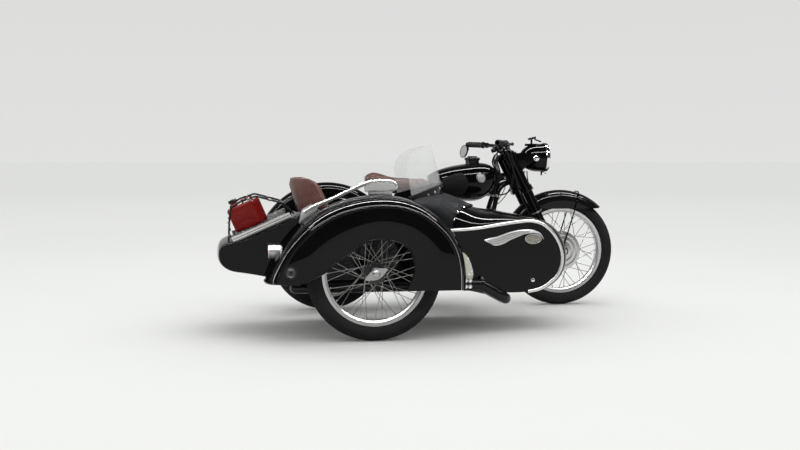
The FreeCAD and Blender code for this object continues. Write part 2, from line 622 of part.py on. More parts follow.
sk3 = outline(eb, "cover_side", "XZ_Plane", [
    ("dims.engine_front - 6", "dims.engine_low + 46"), ("dims.engine_front + 30", "dims.engine_low + 60"), ("dims.engine_front + 30", "dims.engine_top - 90"),
    ("dims.engine_front + 10", "dims.engine_top - 62"), ("dims.engine_front - 6", "dims.engine_top - 62")])
pad3 = eb.newObject("PartDesign::Pad", "front_cover")
pad3.Profile = sk3
pad3.Length = 2 * D["gear_half"]
pad3.setExpression("Length", "2 * dims.gear_half - 8")
pad3.Midplane = True
doc.recompute()
sk4 = eb.newObject("Sketcher::SketchObject", "dynamo_end")
sk4.AttachmentSupport = [(plane_of(eb, "YZ_Plane"), "")]
sk4.MapMode = "FlatFace"
sk4.AttachmentOffset = Placement(V(0, 0, 640), Rotation())
sk4.addGeometry(Part.Circle(V(0, 452, 0), V(0, 0, 1), 46), False)
sk4.addConstraint(Sketcher.Constraint("Radius", 0, 46.0))
sk4.addConstraint(Sketcher.Constraint("PointOnObject", 0, 3, -2))
sk4.addConstraint(Sketcher.Constraint("DistanceY", -1, 1, 0, 3, 452.0))
sk4.renameConstraint(2, "rise")
sk4.setExpression("Constraints.rise", "dims.engine_top + 22")
pad4 = eb.newObject("PartDesign::Pad", "dynamo")
pad4.Profile = sk4
pad4.Length = 190
doc.recompute()


def finned(s):
    """Barrel with its fins, flange and square-finned head, lying along Y."""
    x = D["cyl_x"] + (10 if s < 0 else -10)
    prof = [(D["engine_half"] + 0.2, 0), (D["engine_half"] + 0.2, 64), (90, 64), (90, D["cyl_core"])]
    y = 104
    while y < 286:
        prof += [(y, D["cyl_core"]), (y + 1, D["cyl_fin"] - 1), (y + 4, D["cyl_fin"] - 1), (y + 5, D["cyl_core"])]
        y += 15
    prof += [(298, D["cyl_core"]), (298, 0)]
    prof = [(s * a, b) for a, b in prof]
    barrel = revolve_y(prof, (x, 0, D["cyl_z"]))
    hx, hz = 96, 80
    parts = [barrel]
    y = 296
    core = block(x - hx + 22, x + hx - 22, 296, D["head_end"] - 2, D["cyl_z"] - hz + 20, D["cyl_z"] + hz - 20, 12)
    plates = []
    while y < D["head_end"]:
        k = 0 if y < 330 else (y - 330) * 0.25
        pl = prism_z([(x - hx + k, y), (x + hx - k, y), (x + hx - k, y + 4.5), (x - hx + k, y + 4.5)], D["cyl_z"] - hz + k, D["cyl_z"] + hz - k)
        vert = [e for e in pl.Edges if abs(e.Vertexes[0].Point.x - e.Vertexes[1].Point.x) < 1e-6 and abs(e.Vertexes[0].Point.z - e.Vertexes[1].Point.z) < 1e-6]
        pl = pl.makeFillet(26, vert)
        plates.append(pl)
        y += 12.5
    hd = fuse([core] + plates)
    if s < 0:
        hd = hd.mirror(V(0, 0, 0), V(0, 1, 0))
    return fuse([barrel, hd])


feature("cylinders", [finned(-1), finned(1)])
cy = RAW["cylinders"]


def carb(s):
    x, y, z = 588, s * 168, 372
    return fuse([rod((x, y, z - 44), (x, y, z + 50), 21), rod((x - 42, y, z), (x + 46, y, z), 18), rod((x - 6, y + s * 34, z - 46), (x - 6, y + s * 34, z + 6), 22),
                 rod((x + 40, y, z), (x + 62, y, z - 6), 22), rod((x, y, z - 10), (x - 6, y + s * 34, z - 20), 10)])


feature("carburettors", [carb(-1).cut(cy), carb(1).cut(cy)])


def exhaust(s):
    x0 = D["cyl_x"] + (10 if s < 0 else -10) + D["cyl_fin"] - 2
    pipe = tube([(x0 - 24, s * 238, 322), (x0 + 64, s * 240, 318), (x0 + 68, s * 226, 232), (742, s * 178, 206), (540, s * 168, 212), (262, s * 184, 232)], 19)
    flange = rod((x0 + 2, s * 238, 322), (x0 + 14, s * 238, 322), 27)
    prof = [(270, 0), (270, 21), (226, 44), (-140, 44), (-200, 26), (-200, 0)]
    sil = turned_x(prof, (0, s * 186, 234))
    tail = Part.makeLoft([poly([(-192, s * 186 - 20, 216), (-192, s * 186 + 20, 216), (-192, s * 186 + 20, 252), (-192, s * 186 - 20, 252)]),
                          poly([(-272, s * 186 - 8, 192), (-272, s * 186 + 8, 192), (-272, s * 186 + 8, 276), (-272, s * 186 - 8, 276)])], True, True)
    return fuse([pipe, flange, sil, tail])


ex = []
for s in (-1, 1):
    e = exhaust(s).cut(cy)
    ex.append(max(e.Solids, key=lambda q: q.Volume))
feature("exhausts", ex)
print("engine")


# ---------------------------------------------------------------- tank, knee pads, saddle
def ring_x(x, half, z0, z1, n=18, e=2.6):
    zc, h = (z0 + z1) / 2.0, (z1 - z0) / 2.0
    out = []
    for i in range(n):
        a = 2 * math.pi * i / n
        c, q = math.cos(a), math.sin(a)
        out.append(V(x, half * math.copysign(abs(c) ** (2 / e), c), zc + h * math.copysign(abs(q) ** (2 / e), q)))
    return Part.Wire(spline(out, True))


TANK = [(600, 42, 702, 776), (640, 96, 668, 800), (720, 133, 640, 826), (808, 150, 625, 842), (888, 151, 629, 850), (948, 133, 662, 844), (986, 94, 716, 820), (1000, 46, 752, 800)]


def tank(g):
    return solid_of(Part.makeLoft([ring_x(x + (g if x > 800 else -g), w_ + g, a - g, b + g) for x, w_, a, b in TANK], True, False))


full = tank(0)
ang = math.degrees(math.atan2(779 - 682, 1092 - 600))
tun = Part.makeBox(620, 54, 260, V(-60, -27, -234))
tun.rotate(V(0, 0, 0), V(0, 1, 0), -ang)
tun.translate(V(600, 0, 682))
neck = rod((865, 0, 835), (865, 0, 866), 40)
t = fuse([full, neck]).cut(tun)
feature("fuel_tank", solid_of(t))
pad_out = [(642, 722), (676, 764), (728, 783), (778, 789), (803, 754), (803, 704), (778, 668), (706, 668)]
big = tank(9)
pads = []
for s in (-1, 1):
    p = big.common(prism_y(pad_out, s * 60, s * 220, True))
    p = p.cut(tank(0.25))
    pads.append(solid_of(p))
feature("knee_pads", pads)

SADDLE = [(231, 84, 744, 772), (250, 128, 724, 788), (300, 148, 700, 783), (360, 142, 694, 765), (430, 122, 692, 756), (500, 84, 700, 752), (560, 54, 712, 752), (600, 38, 722, 750)]
sad = solid_of(Part.makeLoft([ring_x(x, w_, a, b, 16, 2.8) for x, w_, a, b in SADDLE], True, False))
sad = solid_of(sad.cut(tank(2)))
feature("saddle", sad)
spr = []
for s in (-1, 1):
    spr.append(rod((292, s * 84, 590), (292, s * 84, 706), 22))
spr.append(rod((292, -84, 694), (292, 84, 694), 8))
spr.append(tube([(292, 0, 694), (420, 0, 676), (560, 0, 700), (575, 0, 722)], 8, 60))
sp = fuse(spr)
fs = RAW["frame"]
sp = sp.cut(fs).cut(sad)
sp = solid_of(sp)
feature("saddle_springs", sp)

# ---------------------------------------------------------------- rear guard, lamp, rests, battery
rf = guard_section(0, D["rear_fender_r"], D["rear_fender_half"], 300, 2.5)
rmask = (arc_pts(0, AX_Z, 352, 22, 60, 6) + arc_pts(0, AX_Z, 330, 75, 150, 8) + arc_pts(0, AX_Z, 352, 165, 194, 5) + arc_pts(0, AX_Z, 430, 194, 20, 30))
rf = rf.common(prism_y(rmask, -120, 120))
rf = solid_of(rf)
rf = rf.cut(rod((292, 0, 694), (420, 0, 676), 8.5)).cut(fs)
rf = max(rf.Solids, key=lambda q: q.Volume)
feature("rear_fender", rf)


def footgear():
    out = []
    for s in (-1, 1):
        arm = tube([(480, s * 101, 176), (480, s * 120, 230), (480, s * 126, 286), (480, s * 300, 286)], 8, 30)
        rest = rod((480, s * 196, 286), (480, s * 302, 286), 16)
        out.append(fuse([arm, rest]))
    kick = fuse([rod((492, 66.2, 322), (492, 128, 322), 9), tube([(492, 122, 322), (484, 126, 400), (440, 140, 520)], 8, 60), rod((440, 132, 520), (440, 206, 520), 10)])
    out.append(kick)
    pedal = fuse([rod((545, 66.2, 250), (545, 134, 250), 9), tube([(545, 128, 250), (580, 140, 250), (612, 158, 258)], 6, 40), rod((612, 150, 258), (612, 196, 258), 9)])
    out.append(pedal)
    return out


fg = [solid_of(x.cut(fs)) for x in footgear()]
feature("foot_controls", fg)

bt = doc.addObject("Part::Box", "battery_block")
bt.setExpression("Length", "dims.battery_l")
bt.setExpression("Width", "dims.battery_w")
bt.setExpression("Height", "dims.battery_t")
bt.Placement = Placement(OFF + V(300, 122, 330), Rotation())
doc.recompute()
bf = doc.addObject("Part::Fillet", "battery")
bf.Base = bt
bf.Edges = [(i + 1, 6.0, 6.0) for i in range(12)]
doc.recompute()
keep(bf, "battery")

# lamps: the machine's own on the rear guard, the sidecar's on its guard
rl = fuse([turned_x([(-396, 0), (-396, 20), (-408, 30), (-448, 30), (-456, 24), (-456, 0)], (0, 0, 430))])
rl = solid_of(rl.cut(guard_section(0, D["rear_fender_r"] + 0.2, D["rear_fender_half"], 300, 6)).cut(Part.makeCylinder(D["rear_fender_r"] - 1, 200, V(0, -100, AX_Z), V(0, 1, 0))))
print("rear")

# ---------------------------------------------------------------- sidecar body: a boat drawn as side outlines at several widths
SC, SH = D["side_centre"], D["side_half"]
# outline of the flat side panel, clockwise from the lower nose
OA = [(1114, 380), (1109, 329), (1088, 283), (1052, 248), (1000, 216), (937, 202), (820, 200), (600, 217), (350, 222), (80, 228), (-160, 252), (-386, 300),
      (-500, 321), (-560, 336), (-597, 372), (-604, 410), (-594, 442), (-562, 459), (-500, 471), (-390, 517), (-262, 571), (-180, 606), (-60, 612), (120, 604), (280, 622), (380, 626), (452, 596),
      (520, 545), (590, 523), (661, 527), (789, 546), (893, 560), (945, 563), (997, 552), (1039, 526), (1076, 484), (1103, 432)]
# outline on the centre line
OB = [(1178, 380), (1172, 322), (1148, 270), (1106, 226), (1040, 196), (937, 195), (820, 197), (600, 213), (350, 218), (80, 224), (-160, 248), (-386, 296),
      (-500, 316), (-572, 332), (-612, 368), (-620, 410), (-610, 448), (-574, 472), (-500, 487), (-390, 533), (-262, 587), (-180, 630), (-60, 660), (120, 676), (280, 690), (400, 700), (490, 700),
      (560, 686), (630, 658), (702, 624), (790, 610), (880, 594), (940, 584), (1010, 571), (1070, 551), (1120, 518), (1158, 458)]


def hull(g, half, planes=(0.0, 0.10, 0.17, 0.215, 0.245, 0.262, 0.272, 0.2775)):
    """Side outlines between centre line and side panel, bulging like a quarter ellipse; g grows or shrinks the skin."""
    wires = []
    cx, cz = 280.0, 380.0
    ks = [-d / 0.2775 for d in reversed(planes) if d > 0] + [d / 0.2775 for d in planes]
    for k in ks:
        wgt = math.sqrt(max(0.0, 1 - k * k))
        pts = []
        n = len(OA)
        base = []
        for (ax, az), (bx, bz) in zip(OA, OB):
            base.append((ax + (bx - ax) * wgt, az + (bz - az) * wgt))
        for i in range(n):
            (x0, z0), (x1, z1), (x2, z2) = base[i - 1], base[i], base[(i + 1) % n]
            tx, tz = x2 - x0, z2 - z0
            L = math.hypot(tx, tz)
            nx, nz = tz / L, -tx / L           # outward for this order of points
            nx, nz = -nx, -nz
            pts.append(V(x1 + nx * g, SC + k * half, z1 + nz * g))
        wires.append(Part.Wire(spline(pts, True)))
    return solid_of(Part.makeLoft(wires, True, False))


outer = hull(0, SH)
inner = hull(-D["wall"], SH - D["wall"])
print("hull volumes", outer.Volume / 1e9, inner.Volume / 1e9)


def rim_front(y, c, drop, half):
    return c - drop * (abs(y - SC) / half) ** 2.2


# cockpit opening in plan: rounded at the back, following the screen in front
ys = [SC + SH * k for k in (-0.86, -0.80, -0.66, -0.45, -0.22, 0, 0.22, 0.45, 0.66, 0.80, 0.86)]
front = [(rim_front(y, 524, 196, 0.86 * SH), y) for y in ys]
back = [(-150, SC + 0.86 * SH), (-196, SC + 0.78 * SH), (-222, SC + 0.5 * SH), (-230, SC), (-222, SC - 0.5 * SH), (-196, SC - 0.78 * SH), (-150, SC - 0.86 * SH)]
cockpit = prism_z(front + back, 430, 800)
shellb = outer.cut(inner)
shellb = shellb.cut(cockpit)
feature("sidecar_body", solid_of(shellb))
print("body", shellb.isValid(), len(shellb.Solids))

# knee cover: a skin over the front deck
grown = hull(8, SH + 6)
skin = grown.cut(hull(0.4, SH + 0.4))


def cov_front(y):
    return 712 - 168 * (abs(y - SC) / (SH + 6)) ** 1.7


yy = [SC + (SH + 12) * k for k in (-1, -0.92, -0.8, -0.6, -0.35, 0, 0.35, 0.6, 0.8, 0.92, 1)]
fpts = [(cov_front(y), y) for y in yy]
bpts = [(rim_front(y, 552, 196, 0.86 * SH) if abs(y - SC) < 0.9 * SH else 330, y) for y in reversed(yy)]
cover = skin.common(prism_z(fpts + bpts, 528, 800))
cov = max(cover.Solids, key=lambda q: q.Volume)
feature("tonneau_cover", cov)
print("cover", cov.isValid(), len(cover.Solids))

# screen band and screen: walls on the same curve, the screen leaning back
slope = math.atan2(747 - 683, 541 - 330)


def strip(c, drop, half, thick, z, shift=0.0, width=1.0):
    kk = (-1, -0.9, -0.75, -0.55, -0.3, 0, 0.3, 0.55, 0.75, 0.9, 1)
    f = [V(c + shift - drop * abs(k) ** 2.2, SC + k * half * width, z) for k in kk]
    b = [V(c + shift - thick - drop * abs(k) ** 2.2, SC + k * (half * width - thick * 0.9), z) for k in reversed(kk)]
    return Part.Wire([spline(f), Part.LineSegment(f[-1], b[0]).toShape(), spline(b), Part.LineSegment(b[-1], f[0]).toShape()])


HB = 0.885 * SH
wall = solid_of(Part.makeLoft([strip(541, 206, HB, 9, 560), strip(541, 206, HB, 9, 800)], True, True))
top = [(250, 560), (620, 560), (620, 747 + (620 - 541) * math.tan(slope)), (250, 683 - 80 * math.tan(slope))]
band = wall.common(prism_y(top, SC - 400, SC + 400)).cut(hull(0.2, SH + 0.2))
band = max(band.Solids, key=lambda q: q.Volume)
feature("windscreen_band", band)
scr = solid_of(Part.makeLoft([strip(541.5, 206, HB - 1, 4, 683, 12), strip(541.5, 176, HB - 1, 4, 955, -57, 0.86)], True, True))
sm = [(300, 675.5), (620, 771.5), (620, 960), (500, 953), (440, 940), (385, 918), (350, 890), (318, 850), (300, 800)]
sm = [(x, z + 0.5) for x, z in sm]
sc = scr.common(prism_y([(250, 683 - 80 * math.tan(slope) + 0.4), (620, 747 + 79 * math.tan(slope) + 0.4), (620, 956), (505, 951), (450, 942), (395, 926), (352, 896), (330, 860), (320, 800), (300, 700)], SC - 400, SC + 400))
sc = max(sc.Solids, key=lambda q: q.Volume)
feature("windscreen", sc)
print("screen", band.isValid(), sc.isValid())

# seat cushion and wrap-round backrest
seat = block(-60, 330, SC - 205, SC + 205, 262, 362, 30)
feature("sidecar_seat", seat)


def rrect(x0, x1, half, r, z):
    kk = []
    for (px, py, a0) in ((x0 + r, SC + half - r, 90), (x0 + r, SC - half + r, 180)):
        for i in range(5):
            a = math.radians(a0 + i * 22.5)
            kk.append((px + r * math.cos(a), py + r * math.sin(a), z))
    kk.append((x1, SC - half, z))
    kk.append((x1, SC + half, z))
    return poly(kk)


outr = solid_of(Part.makeLoft([rrect(-120, 60, 222, 96, 380), rrect(-268, -88, 216, 96, 800)], True, True))
innr = solid_of(Part.makeLoft([rrect(-50, 80, 164, 60, 370), rrect(-202, -60, 160, 60, 810)], True, True))
prof = [(-290, 380), (-285, 760), (-262, 783), (-176, 783), (-146, 764), (-121, 719), (-88, 665), (-50, 590), (-18, 500), (-4, 385)]
br = outr.cut(innr).common(prism_y(prof, SC - 300, SC + 300))
br = solid_of(br)
feature("sidecar_backrest", br)
print("seat", br.isValid(), br.Volume / 1e6)

# grab rail on the fender side of the cockpit
GY = -1000.0
gp = [(-196, GY, 612), (-150, GY, 640), (-60, GY, 676), (30, GY, 718), (110, GY, 756), (180, GY, 765), (236, GY, 762), (262, GY, 742), (250, GY, 722), (200, GY, 716), (120, GY, 716)]
rail = tube(gp, 10)
blk = prism_y([(100, 740), (150, 756), (235, 756), (256, 738), (248, 716), (200, 710), (104, 710)], GY - 9, GY + 9)
foot1 = prism_y([(-222, 560), (-150, 566), (-128, 640), (-160, 652), (-205, 628)], GY - 4, GY + 15 - 0.4)
foot2 = prism_y([(130, 560), (232, 560), (240, 712), (120, 712)], GY + 4, GY + 15 - 0.4)
foot3 = block(130, 236, GY - 9, GY + 10, 698, 712)
gr = fuse([rail, blk, foot1, foot2, foot3])
gr = gr.cut(hull(0.2, SH + 0.2))
gr = max(gr.Solids, key=lambda q: q.Volume)
feature("grab_rail", gr)

# tail deck: rails, rack hoops and the can, all on the deck's slope
DS = math.radians(D["deck_slope"])


def deck(d, y, up):
    """Point d along the slope from the tail, up square to it."""
    return (-519 + d * math.cos(DS) - up * math.sin(DS), y, 477 + d * math.sin(DS) + up * math.cos(DS))


def slat(y, wd, d0, d1, u0, u1):
    a = [deck(d0, y - wd / 2, u0), deck(d1, y - wd / 2, u0), deck(d1, y - wd / 2, u1), deck(d0, y - wd / 2, u1)]
    return solid_of(Part.Face(poly(a)).extrude(V(0, wd, 0)))


rails = []
for y in (SC - 250, SC - 170, SC - 95, SC, SC + 95, SC + 170, SC + 250):
    near = abs(y - SC) > 200
    rails.append(slat(y, 26 if near else 16, -20 if near else 2, 286 if near else 270, -16, 22 if near else 20))
bars = [slat(SC, 500, 30, 50, 4, 12), slat(SC, 500, 225, 245, 4, 12)]
lr_ = fuse(rails + bars)
lr_ = lr_.cut(hull(0.2, SH + 0.2))
lr_ = max(lr_.Solids, key=lambda q: q.Volume)
feature("luggage_rails", lr_)
print("rails", len(lr_.Solids), lr_.isValid())

hoops = []
for y in (SC - 212, SC + 212):
    hoops.append(tube([(-560, y, 462), (-556, y, 560), (-548, y, 634), (-500, y, 664), (-425, y, 690), (-293, y, 655), (-240, y, 603)], 5, 40))
hoops.append(rod((-557, SC - 212, 530), (-557, SC + 212, 530), 5))
hoops.append(rod((-290, SC - 212, 652), (-290, SC + 212, 652), 5))
hp = fuse(hoops)
hp = hp.cut(hull(0.2, SH + 0.2))
hp = hp.cut(RAW["luggage_rails"])
hp = max(hp.Solids, key=lambda q: q.Volume)
feature("luggage_rack", hp)

cw, cd, ch = D["can_w"], D["can_d"], D["can_t"]
canb = Part.makeBox(cw, cd, ch, V(-cw / 2, -cd / 2, 0))
canb = canb.makeFillet(14, canb.Edges)
spout = Part.makeCylinder(15, 26, V(-cw / 2 + 34, 0, ch - 4))
lid = Part.makeCylinder(19, 12, V(-cw / 2 + 34, 0, ch + 18))
hd1 = Part.makeCylinder(5, 22, V(4, 0, ch - 4))
hd2 = Part.makeCylinder(5, 22, V(58, 0, ch - 4))
hd3 = Part.makeCylinder(5, 64, V(-1, 0, ch + 16), V(1, 0, 0))
can = fuse([canb, spout, lid, hd1, hd2, hd3])
can.rotate(V(0, 0, 0), V(0, 0, 1), -28)
can.rotate(V(0, 0, 0), V(0, 1, 0), -D["deck_slope"])
cp = deck(94, -752, 20.4)
can.translate(V(*cp))
feature("fuel_can", can)

# ---------------------------------------------------------------- sidecar wheel guard: deep shell, open inside and below
FO = [(-396, 292), (-388, 300), (-379, 322), (-354, 378), (-311, 452), (-267, 507), (-205, 569), (-147, 612), (-74, 650), (23, 681), (110, 695), (194, 697), (275, 686), (367, 652), (450, 594), (517, 523), (559, 446), (579, 364), (584, 300), (583, 238)]
FC = (110.0, 300.0)


def guard(deltas, low_back, low_front):
    wires = []
    for y, dl in deltas:
        pts = []
        for x, z in FO:
            rx, rz = x - FC[0], z - FC[1]
            L = math.hypot(rx, rz)
            q = (L - dl) / L
            pts.append(V(FC[0] + rx * q, y, FC[1] + rz * q))
        a, b = pts[0], pts[-1]
        lo_a, lo_b = V(a.x, y, low_back), V(b.x, y, low_front)
        wires.append(Part.Wire([Part.LineSegment(lo_a, a).toShape(), spline(pts), Part.LineSegment(b, lo_b).toShape(), Part.LineSegment(lo_b, lo_a).toShape()]))
    return solid_of(Part.makeLoft(wires, True, False))


st_ = D["sheet_t"]
sec = [(-1050.0, 0.0), (-1095.0, 1.0), (-1140.0, 5.0), (-1175.0, 12.0), (-1203.0, 23.0), (-1221.0, 36.0), (-1232.0, 54.0)]
g_out = guard(sec, 286, 232)
sec_in = [(-1040.0, st_)] + [(y + (0 if y > -1200 else st_ * (0.7 if y > -1225 else 1.0)), dl + st_) for y, dl in sec]
g_in = guard(sec_in, 150, 150)
gd = g_out.cut(g_in)
opening = [(275, 180), (277, 255), (289, 278), (309, 322), (314, 370), (296, 430), (265, 462), (232, 479), (170, 491), (108, 489), (51, 464), (-20, 414), (-67, 377), (-114, 340), (-170, 307), (-205, 292), (-230, 287), (-232, 180)]
gd = gd.cut(prism_y(opening, -1240, -1200))
# lower edge: level behind, a little lower in front
gd = gd.cut(prism_y([(262, 100), (700, 100), (700, 222), (601, 226), (541, 245), (262, 252)], -1300, -1040))
gd = max(gd.Solids, key=lambda q: q.Volume)
feature("sidecar_fender", gd)
print("guard", gd.isValid(), gd.Volume / 1e6)

# pale quarter-round stone guard standing on the front edge, with its bracket
sg = prism_y([(556, 306), (615, 306), (613, 328), (604, 362), (590, 394), (569, 417), (540, 426)], -1150, -1052, False)
sg = sg.cut(g_out)
sgb = block(582, 614, -1140, -1100, 291, 307)
sgp = fuse([sg, sgb]).cut(g_out)
sgp = max(sgp.Solids, key=lambda q: q.Volume)
feature("stone_guard", sgp)

sl = turned_x([(-372, 0), (-372, 20), (-362, 30), (-318, 31), (-300, 26), (-300, 0)], (0, -1066, 428))
sl = sl.cut(g_out)
sl = max(sl.Solids, key=lambda q: q.Volume)
feature("tail_lamps", [rl, sl])

# ---------------------------------------------------------------- sidecar chassis and its struts to the frame
CR, CY, CZ, IY, IZ = D["chassis_r"], D["chassis_y"], D["chassis_z"], D["inner_y"], D["inner_z"]
loop = tube([(-240, CY, CZ), (690, CY, CZ), (822, CY, 169), (822, -900, 165), (822, -570, 165), (750, IY, IZ), (-210, IY, IZ)], CR, 90)
cr1 = tube([(448, CY, CZ), (448, CY + 34, 196), (448, IY, IZ)], 18, 30)
cr2 = tube([(-190, CY, CZ), (-190, CY + 60, 226), (-190, -560, 222), (-190, IY, IZ)], 18, 40)
lug = block(SX - 26, SX + 26, CY - 26, CY + 19, CZ - 8, 354, 6)
clampf = block(590, 632, -1048.5, CY, 222, 288)
stayr = rod((-232, CY, CZ), (-330, -1047, 306), 9)
stayt = rod((SX, CY - 12, 345), (SX + 14, CY - 22, 668), 8)
ends = [ball((-240, CY, CZ), CR), ball((-210, IY, IZ), CR)]
spring_seats = [rod((448, -900, 188), (448, -900, 217.5), 20), rod((448, -520, 180), (448, -520, 216.0), 20), rod((-190, -880, 226), (-190, -880, 251), 18), rod((-190, -560, 226), (-190, -560, 250), 18)]
ch_ = fuse([loop, cr1, cr2, lug, clampf, stayr, stayt] + ends + spring_seats)
ch_ = ch_.cut(outer)
ch_ = ch_.cut(rod((SX, -900, AX_Z), (SX, -1100, AX_Z), D["stub_r"]))
feature("sidecar_chassis", solid_of(ch_))
print("chassis", ch_.isValid(), len(ch_.Solids))
stub = fuse([rod((SX, CY + 22, AX_Z), (SX, SY - 61, AX_Z), D["stub_r"]), rod((SX, CY - 26.2, AX_Z), (SX, CY - 38, AX_Z), 30), rod((SX, CY - 38, AX_Z), (SX, SY + 61, AX_Z), 22),
             rod((SX, CY + 19.2, AX_Z), (SX, CY + 27, AX_Z), 19)])
feature("sidecar_axle", stub)

struts = [
    fuse([rod((788, -490, 166), (893, -118, 171), 15), ball((788, -490, 166), 22), ball((893, -120, 171), 22)]),
    fuse([rod((150, IY + 26, IZ), (150, -118, 168), 15), ball((150, IY + 22, IZ), 22), ball((150, -120, 168), 22)]),
    fuse([rod((738, -412, 178), (796, -400, 196), 13), rod((796, -400, 196), (968, -96, 566), 13), ball((796, -400, 196), 17), ball((967, -98, 564), 19)]),
    fuse([rod((-60, IY + 8, 188), (236, -104, 568), 13), ball((-60, IY + 8, 190), 19), ball((236, -104, 567), 19)]),
]
chs = RAW["sidecar_chassis"]
out = []
for q in struts:
    q = q.cut(chs).cut(fs)
    out.append(max(q.Solids, key=lambda z: z.Volume))
feature("sidecar_struts", out)

# ---------------------------------------------------------------- centre stand, folded back under the frame
PX, PZ, SL, SYY = D["stand_x"], D["stand_z"], D["stand_len"], D["stand_y"]
legs = []
for s in (-1, 1):
    legs.append(rod((PX, s * SYY, PZ), (PX - SL + 12, s * SYY, PZ - 6), 9))
    legs.append(block(PX - SL - 4, PX - SL + 32, s * SYY - 9, s * SYY + 9, PZ - 18, PZ - 2))
    legs.append(rod((PX, s * 58, PZ), (PX, s * 82 - s * 0.5, PZ), 12))
    legs.append(rod((PX, s * 70, PZ), (PX, s * 104, PZ), 6))
legs.append(rod((PX - 16, -SYY, PZ - 0.5), (PX - 16, SYY, PZ - 0.5), 8))
stn = fuse(legs)
feature("centre_stand", stn)

# ---------------------------------------------------------------- check and write
doc.recompute()
bad = []
for o in doc.Objects:
    st = [str(q) for q in o.State]
    if any("Invalid" in q or "Error" in q for q in st):
        bad.append((o.Label, st))
names = set()
for label, o in PARTS:
    s = o.Shape
    if s.isNull() or not s.isValid() or not s.Solids:
        bad.append((label, "shape"))
    if label in names:
        bad.append((label, "twice"))
    names.add(label)
if bad:
    raise SystemExit("failed: %s" % bad)
for old in os.listdir("parts"):
    if old.endswith(".step") and old[:-5] not in names:
        os.remove(os.path.join("parts", old))
lo, hi = [1e9] * 3, [-1e9] * 3
vol = 0
for label, o in PARTS:
    o.Shape.exportStep("parts/%s.step" % label)
    b = o.Shape.BoundBox
    vol += o.Shape.Volume
    for i, (a, c) in enumerate(((b.XMin, b.XMax), (b.YMin, b.YMax), (b.ZMin, b.ZMax))):
        lo[i], hi[i] = min(lo[i], a), max(hi[i], c)
    print("%-18s solids %d  vol %8.1f cm3  x %.0f..%.0f y %.0f..%.0f z %.0f..%.0f" % (label, len(o.Shape.Solids), o.Shape.Volume / 1e3, b.XMin, b.XMax, b.YMin, b.YMax, b.ZMin, b.ZMax))
print(len(PARTS), "sub-parts; box", [round(v, 1) for v in lo], [round(v, 1) for v in hi], "volume m3", round(vol / 1e9, 4))
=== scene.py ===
import bpy, bmesh, math
import numpy as np
from mathutils import Vector, Matrix, Quaternion


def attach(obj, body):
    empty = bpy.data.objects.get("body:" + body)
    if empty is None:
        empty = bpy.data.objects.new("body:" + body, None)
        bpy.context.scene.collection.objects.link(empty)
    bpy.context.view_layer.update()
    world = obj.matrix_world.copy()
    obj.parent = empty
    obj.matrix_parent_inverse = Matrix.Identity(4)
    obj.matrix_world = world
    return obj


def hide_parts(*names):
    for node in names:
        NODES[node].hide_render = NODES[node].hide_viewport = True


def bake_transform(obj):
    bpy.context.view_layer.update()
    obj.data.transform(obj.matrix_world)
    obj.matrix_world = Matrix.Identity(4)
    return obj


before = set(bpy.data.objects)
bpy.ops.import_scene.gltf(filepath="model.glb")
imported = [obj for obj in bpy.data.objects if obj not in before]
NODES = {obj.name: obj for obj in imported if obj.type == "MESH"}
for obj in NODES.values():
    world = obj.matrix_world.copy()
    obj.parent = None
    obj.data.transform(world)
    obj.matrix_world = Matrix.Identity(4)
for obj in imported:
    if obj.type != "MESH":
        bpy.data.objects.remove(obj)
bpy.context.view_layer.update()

CX, CY = 0.5535, -0.4120          # the rear axle's place, seen from the row's origin, is (-CX, -CY)


def P(x, y, z):
    """Millimetres seen from the rear axle's middle to metres in the row's frame."""
    return Vector((x / 1000 - CX, y / 1000 - CY, z / 1000))


